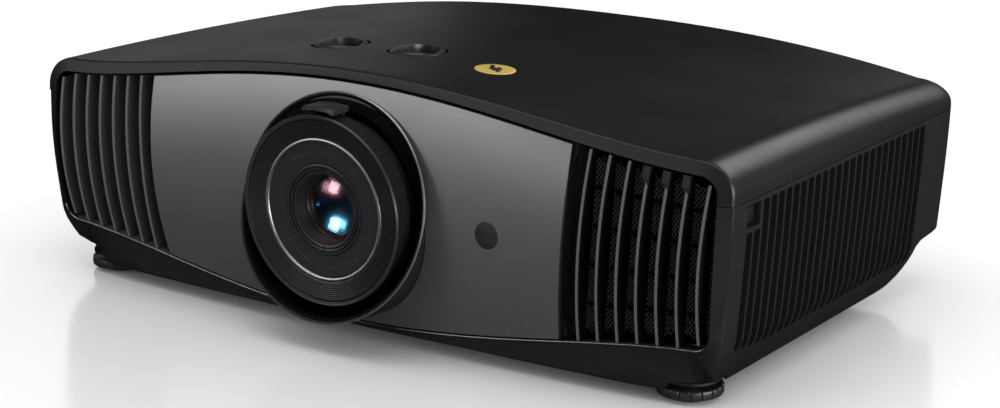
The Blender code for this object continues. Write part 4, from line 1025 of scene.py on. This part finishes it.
def lens():
    carriage = {"body": "carriage_horizontal"}

    def knurl(k, s):
        return -0.00022 if k in (4, 5) and s % 2 else 0.0

    profile = [(0.0533, 0.0009), (0.0545, 0.0001), (0.0552, -0.0002), (FOCUS_R, 0.0006),
               (FOCUS_R - 0.0002, 0.0016), (FOCUS_R - 0.0004, 0.0122), (0.0548, 0.0125), (0.0533, 0.0125)]
    focus = turned("focus_collar", [(r, LIP_Y + y) for r, y in profile], (MAT["focus"], MAT["collar"]), 360,
                   knurl, replaces=("focus_ring",), body="focus", smooth=22.0)
    for poly in focus.data.polygons:
        poly.material_index = 1 if poly.center.y > LIP_Y + 0.003 + SHIFT_Y else 0
    profile = [(0.027, -0.1592), (0.0393, -0.1599), (0.0396, -0.1596), (0.0396, -0.1586), (0.0422, -0.1586),
               (0.0422, -0.1606)]
    for k in range(9):
        r = 0.0425 + 0.00113 * k
        y = -0.1606 - 0.0018 * (r - 0.042) / 0.011
        profile += [(r, y), (r + 0.0006, y - 0.0003), (r + 0.00085, y + 0.0003)]
    profile += [(0.0528, -0.1624), (0.053, -0.162), (0.053, -0.1578), (0.027, -0.1578)]
    turned("lens_bezel", profile, MAT["bezel"], 200, replaces=("lens_face",), smooth=20.0, **carriage)
    turned("bright_ring", [(0.0398, -0.1605), (0.0401, -0.1608), (0.0409, -0.1609), (0.0416, -0.1608),
                           (0.042, -0.1605), (0.042, -0.1588), (0.0398, -0.1588)],
           MAT["chrome"], 200, replaces=("chrome_ring",), slot="chrome", smooth=60.0, **carriage)
    stepped = [(0.0206, -0.158), (0.0208, -0.1587), (0.0213, -0.159), (0.0222, -0.1592), (0.0225, -0.1589),
               (0.0226, -0.1582), (0.0231, -0.1582), (0.0232, -0.1592), (0.0241, -0.1596), (0.0244, -0.1593),
               (0.0245, -0.1586), (0.0252, -0.1586), (0.0253, -0.1596), (0.0259, -0.16), (0.0266, -0.1598),
               (0.0267, -0.1594), (0.0267, -0.156), (0.0206, -0.15)]
    ring = turned("front_retainer", stepped, MAT["bezel"], 160, replaces=("lens_retainer",), smooth=25.0,
                  **carriage)
    notches = [block((-0.0004, -0.17, LENS_Z + z), (0.0004, -0.1586, LENS_Z + z + 0.0044))
               for z in (0.02, -0.0244)]
    cut_by(ring, *gather(notches), "notches")
    ticks = []
    for centre, half, count in ((88.0, 42.0, 21), (-92.0, 52.0, 25)):
        for k, deg in enumerate(steps(centre - half, centre + half, count)):
            ang = radians(deg)
            if k % 7 == 3:
                continue
            r0, r1 = 0.0332, 0.0332 + (0.0017 if k % 3 else 0.0011)
            corner = []
            for r, d in ((r0, -0.006), (r0, 0.006), (r1, 0.006), (r1, -0.006)):
                front = -0.15958 - 0.0004 * (r - 0.033)
                corner.append((r * cos(ang + d), front, LENS_Z + r * sin(ang + d)))
            ticks.append((corner, [(0, 1, 2, 3)]))
    thicken(piece("scale_ticks", *gather(ticks), MAT["tick"], **carriage), 0.00005)

    turned("front_glass", element(0.0203, -0.1165, -0.0395, 0.0012, 0.0012), MAT["glass"], 96,
           replaces=("lens_front_element",), slot="glass", smooth=80.0, **carriage)
    turned("rear_glass", element(0.0172, -0.1788, 0.036, 0.002, 0.004), MAT["glass_blue"], 96,
           replaces=("lens_inner_element",), slot="glass", smooth=80.0, **carriage)
    funnel = [(0.0206, -0.1575), (0.0198, -0.154), (0.0192, -0.152), (0.0196, -0.1505), (0.0184, -0.149),
              (0.0188, -0.1475), (0.0176, -0.146), (0.018, -0.144), (0.017, -0.1425), (0.017, -0.138),
              (0.026, -0.138), (0.0266, -0.156)]
    turned("light_baffle", funnel, MAT["bezel"], 120, smooth=25.0, **carriage)
    # Near-black disc at the back of the barrel: painted shade deep in the lens.
    turned("barrel_end", [(0.0, -0.1345), (0.02, -0.1345), (0.02, -0.1335), (0.0, -0.1335)], MAT["painted_shade"],
           60, **carriage)


def zoom_ring():
    """Fluted zoom ring behind the focus ring, with a grip tab over the lens."""
    def ripple(k, s):
        return -0.0002 if k in (1, 2) and s % 2 else 0.0

    band = lathe([(0.0495, -0.15), (0.052, -0.15), (0.052, -0.1425), (0.051, -0.1418),
                  (0.0495, -0.1418)], LENS_AT, "Y", 240, ripple)
    section = [(0.0579, -0.1622), (0.0583, -0.163), (0.0592, -0.1634), (0.0606, -0.1616), (0.0607, -0.148),
               (0.0603, -0.1474), (0.0581, -0.1474)]
    rows = []
    for deg in steps(80.0, 101.0, 22):
        thick = 0.0007 * max(0.0, (83.0 - deg) / 3.0)
        ang = radians(deg)
        shifted = [(r - thick if r < 0.0595 else r, y) for r, y in section]
        rows.append([(r * cos(ang), y, LENS_Z + r * sin(ang)) for r, y in shifted])
    riser = block((-0.0075, -0.1498, LENS_Z + 0.0505), (0.0075, -0.1476, LENS_Z + 0.0583))
    piece("zoom_collar", *gather([band, riser]), MAT["dark"], replaces=("zoom_ring",), body="zoom")
    tab = piece("zoom_tab", *rod(rows), MAT["focus"], body="zoom", smooth=32.0)
    soften(tab, 0.0002)


def surround():
    """Flared collar, flush with the panel above the lens and standing out below it."""
    angles = circle(200)

    def neck(inset, y=0.0):
        return [(x, y, z) for x, z in (neck_point(ang, inset) for ang in angles)]

    def rim(radius, behind):
        row = []
        for ang in angles:
            deg = degrees(ang)
            tucked = 0.0026 * exp(-((deg - 172) / 24) ** 2)
            flared = 0.0014 * exp(-((deg - 226) / 22) ** 2)
            wide = radius - tucked + flared
            up = wide * sin(ang)
            row.append((wide * cos(ang), RIM_Y + up * sin(RIM_TILT) + behind,
                        LENS_Z + up * cos(RIM_TILT)))
        return row

    def mix(a, b, t):
        return [tuple(p + (q - p) * t for p, q in zip(u, v)) for u, v in zip(a, b)]

    outer = [(x, panel_y(x, z) - 0.0004, z) for x, y, z in neck(0.0)]
    inner = [(x, panel_y(x, z) - 0.0015, z) for x, y, z in neck(0.0014)]
    loops = [neck(0.0, -0.1105), outer]
    lip = [rim(RIM_R + 0.001, 0.0009), rim(RIM_R + 0.0009, 0.0003), rim(RIM_R + 0.0004, -0.0001),
           rim(RIM_R - 0.0003, 0.0001), rim(RIM_R - 0.0007, 0.0005), rim(RIM_R - 0.0024, 0.0012)]
    for t in (0.25, 0.5, 0.75):
        loops.append(mix(outer, lip[0], t))
    loops += lip
    for t in (0.25, 0.5, 0.75):
        loops.append(mix(lip[-1], inner, t))
    loops += [inner, neck(0.0014, -0.13), neck(0.0024, -0.115)]
    for y in (-0.115, -0.1105):
        loops.append([(0.053 * cos(a), y, LENS_Z + 0.053 * sin(a)) for a in angles])
    faces = ring_faces(len(loops), len(angles))
    # Faces of the back and of the funnel inside the rim carry near-black painted shade.
    loop_tags = {1: 0, 2: 0, 3: 0, 4: 0, 5: 2, 6: 2, 7: 3, 8: 3}
    tags = [loop_tags.get(face[0] // len(angles), 1) for face in faces]
    piece("lens_collar", flatten(loops), faces, (MAT["flare"], MAT["painted_shade"], MAT["panel"], MAT["focus"]),
          replaces=("lens_surround",), smooth=38.0, tags=tags)


# ---------------------------------------------------------------- base, lip trim and feet
def base_shell():
    """Lower front, underside and rear overhang as one shell, with the foot recesses cut in."""
    edge = 0.222
    xs = steps(-edge, edge, 84)
    rows = [[(x, front_y(x) + 0.0026, open_bottom(x) - 0.0002) for x in xs],
            [(x, front_y(x) + 0.0003, open_bottom(x)) for x in xs],
            [(x, front_y(x), open_bottom(x) - 0.0003) for x in xs],
            [(x, front_y(x) + 0.0018, open_bottom(x) - 0.0022) for x in xs]]
    for t in (0.08, 0.3, 0.6, 0.9):
        rows.append([(x, front_y(x) + 0.0018 + (base_front_y(x) - front_y(x) - 0.0018) * t,
                      open_bottom(x) - 0.0022 + (BASE_Z + 0.0022 - open_bottom(x)) * t) for x in xs])
    rows.append([(x, base_front_y(x) + 0.0012, BASE_Z) for x in xs])
    rows.append([(x, -0.0835, BASE_Z) for x in xs])
    for y in (0.0, 0.098, 0.102, 0.106, 0.109, 0.112, 0.1135, 0.115, 0.1165, 0.118, 0.1205,
              0.123, 0.139, 0.153, 0.159, 0.1618, REAR_Y):
        z = under_z(y)
        scale = (side_x(z) - rear_inset(y) - 0.0046) / edge
        rows.append([(x * scale, y, z) for x in xs])
    rows.append([(x, y, 0.0456) for x, y, z in rows[-1]])
    shell = skin("base_shell", rows, MAT["case"], 0.0016, replaces=("base_tray",), slot="black_plastic")
    cut_by(shell, *gather([foot_well(side, 60) for side in (-1, 1)]), "wells")
    for side, tag in SIDES:
        cap = lathe([(0.0064, 0.0112), (0.0175, 0.0112), (0.0175, 0.0126), (0.0064, 0.0126)],
                    (side * FOOT_X, FOOT_Y, 0.0), "Z", 60)
        piece("foot_recess_" + tag, *cap, MAT["dark"])


def lip_trim():
    """Thin bright bead along the lower edge of the front opening and round its corners."""
    mid = post_edge(0.047) - LOW_CORNER
    cz = open_bottom(mid) + LOW_CORNER
    half = [(x, open_bottom(x), 0.0, -1.0) for x in steps(0.0, mid, 40)]
    for deg in steps(5.0, 80.0, 15):
        a = radians(deg)
        nx, nz = sin(a), -cos(a)
        half.append((mid + LOW_CORNER * nx, cz + LOW_CORNER * nz, nx, nz))
    path = [(-x, z, -nx, nz) for x, z, nx, nz in half[:0:-1]] + half
    rows = []
    for x, z, nx, nz in path:
        y = front_y(x) - swell(x, z, POST_BULGE)
        row = []
        for deg in steps(0.0, 360.0, 8)[:-1]:
            a = radians(deg)
            out, along = 0.0005 * cos(a), 0.0005 * sin(a)
            row.append((x + nx * out, y + 0.0002 + along, z + nz * out))
        rows.append(row)
    piece("lip_bead", *rod(rows), MAT["trim"], smooth=70.0)


def feet():
    """Front feet: a notched wheel on a stem, over a rubber pad."""
    def notch(k, s):
        return -0.0007 if k in (2, 3, 4, 5) and s % 10 == 0 else 0.0

    for side, tag in SIDES:
        at = (side * FOOT_X, FOOT_Y, 0.0)
        profile = [(0.0, 0.0024), (0.0168, 0.0024), (0.0182, 0.0029), (FOOT_R, 0.0036), (FOOT_R, 0.0073),
                   (0.0184, 0.0078), (0.0179, 0.008), (0.017, 0.008), (0.0167, 0.0074), (0.011, 0.007),
                   (0.0092, 0.0074), (0.0058, 0.0076), (0.0056, 0.03), (0.0, 0.03)]
        piece("foot_wheel_" + tag, *lathe(profile, at, "Z", 180, notch), MAT["dial"],
              replaces=("foot_disc_" + tag,), body="foot_" + tag[0], smooth=30.0)
        pad = [(0.0, 0.0), (0.0112, 0.0), (0.0118, 0.0004), (0.0118, 0.0022), (0.0, 0.0022)]
        piece("foot_rubber_" + tag, *lathe(pad, at, "Z", 72), MAT["rubber"], replaces=("foot_pad_" + tag,),
              body="foot_" + tag[0], slot="rubber")


# ---------------------------------------------------------------- studio
def new_collection(name):
    group = bpy.data.collections.new(name)
    bpy.context.scene.collection.children.link(group)
    return group


def studio():
    world = bpy.data.worlds.new("studio_world")
    bpy.context.scene.world = world
    world.use_nodes = True
    sky = world.node_tree.nodes["Background"]
    sky.inputs["Color"].default_value = (1.0, 1.0, 1.0, 1.0)
    sky.inputs["Strength"].default_value = 0.75

    bpy.ops.mesh.primitive_plane_add(size=16.0, location=(0, 0, 0))
    floor = bpy.context.object
    floor.name = "studio_floor"
    floor.data.materials.append(shader_setup("pale_floor", (0.82, 0.82, 0.83), 0.0, 0.16)[0])
    floor.visible_glossy = False

    bpy.ops.mesh.primitive_uv_sphere_add(segments=48, ring_count=24, radius=7.9, location=(0, 0, 0))
    dome = bpy.context.object
    dome.name = "studio_dome"
    glow = bpy.data.materials.new("dome_white")
    glow.use_nodes = True
    glow.node_tree.nodes.clear()
    emit = add_node(glow.node_tree, "Emission", Strength=1.05)
    out = add_node(glow.node_tree, "OutputMaterial")
    glow.node_tree.links.new(emit.outputs["Emission"], out.inputs["Surface"])
    dome.data.materials.append(glow)
    dome.visible_diffuse = False
    dome.visible_shadow = False
    dome.visible_transmission = False
    floor_only = new_collection("lit_by_dome")
    floor_only.objects.link(floor)
    dome.light_linking.receiver_collection = floor_only


def soft_light(name, spot, aim, width, height, power, rgb=(1.0, 1.0, 1.0)):
    data = bpy.data.lights.new(name, "AREA")
    data.shape = "RECTANGLE"
    data.size = width
    data.size_y = height
    data.energy = power
    data.color = rgb
    light = place(name, data)
    light.location = spot
    light.rotation_euler = (Vector(aim) - Vector(spot)).to_track_quat("-Z", "Y").to_euler()
    light.visible_camera = False
    return light


def lights():
    soft_light("key_top", (0.0, -0.4, 2.4), (0, 0, 0), 2.2, 1.4, 20.0)
    soft_light("front_left", (-1.5, -2.05, 0.62), (0, -0.1, 0.08), 1.3, 0.5, 7.6)
    soft_light("back_card", (-1.9, 1.3, 0.55), (0, 0, 0.14), 1.6, 0.9, 1.2)
    soft_light("back_band", (0.6, 2.0, 1.5), (0.2, 0, 0.12), 1.8, 0.45, 14.0)
    soft_light("right_side", (2.4, 0.2, 0.5), (0.2, 0, 0.08), 1.8, 0.9, 32.0)
    soft_light("right_low", (2.0, -0.5, 0.12), (0.2, 0, 0.03), 1.6, 0.22, 16.0)
    glint = soft_light("lens_glint", (-0.27, -0.65, 0.26), (0, -0.15, 0.083), 0.2, 0.16, 1.2)
    glass_only = new_collection("lit_by_glint")
    for name in ("front_glass", "rear_glass"):
        glass_only.objects.link(bpy.data.objects[name])
    glint.light_linking.receiver_collection = glass_only


def camera():
    """Long lens from the front right, a little above the projector."""
    aim = Vector((0.0279, -0.02075, 0.06))
    azimuth, elevation, distance = radians(34.591), radians(15.521), 1.3674
    back = Vector((sin(azimuth) * cos(elevation), -cos(azimuth) * cos(elevation),
                   sin(elevation)))
    data = bpy.data.cameras.new("camera")
    data.sensor_width = 36.0
    data.lens = 80.25
    data.clip_start = 0.05
    data.clip_end = 60.0
    cam = place("camera", data)
    cam.location = aim + back * distance
    cam.rotation_euler = (-back).to_track_quat("-Z", "Y").to_euler()
    bpy.context.scene.camera = cam


cover = roof_front()
roof_pockets(cover)
roof_rear()
seam_backings()
for dial_node, (dial_body, dial_x) in DIALS.items():
    dial(dial_node, dial_body, dial_x)
emblem()
front_panel()
for case_side in (-1, 1):
    grille(case_side)
    side_panel(case_side)
lens()
zoom_ring()
surround()
base_shell()
lip_trim()
feet()
studio()
lights()
camera()
bpy.context.scene.view_settings.view_transform = "Standard"
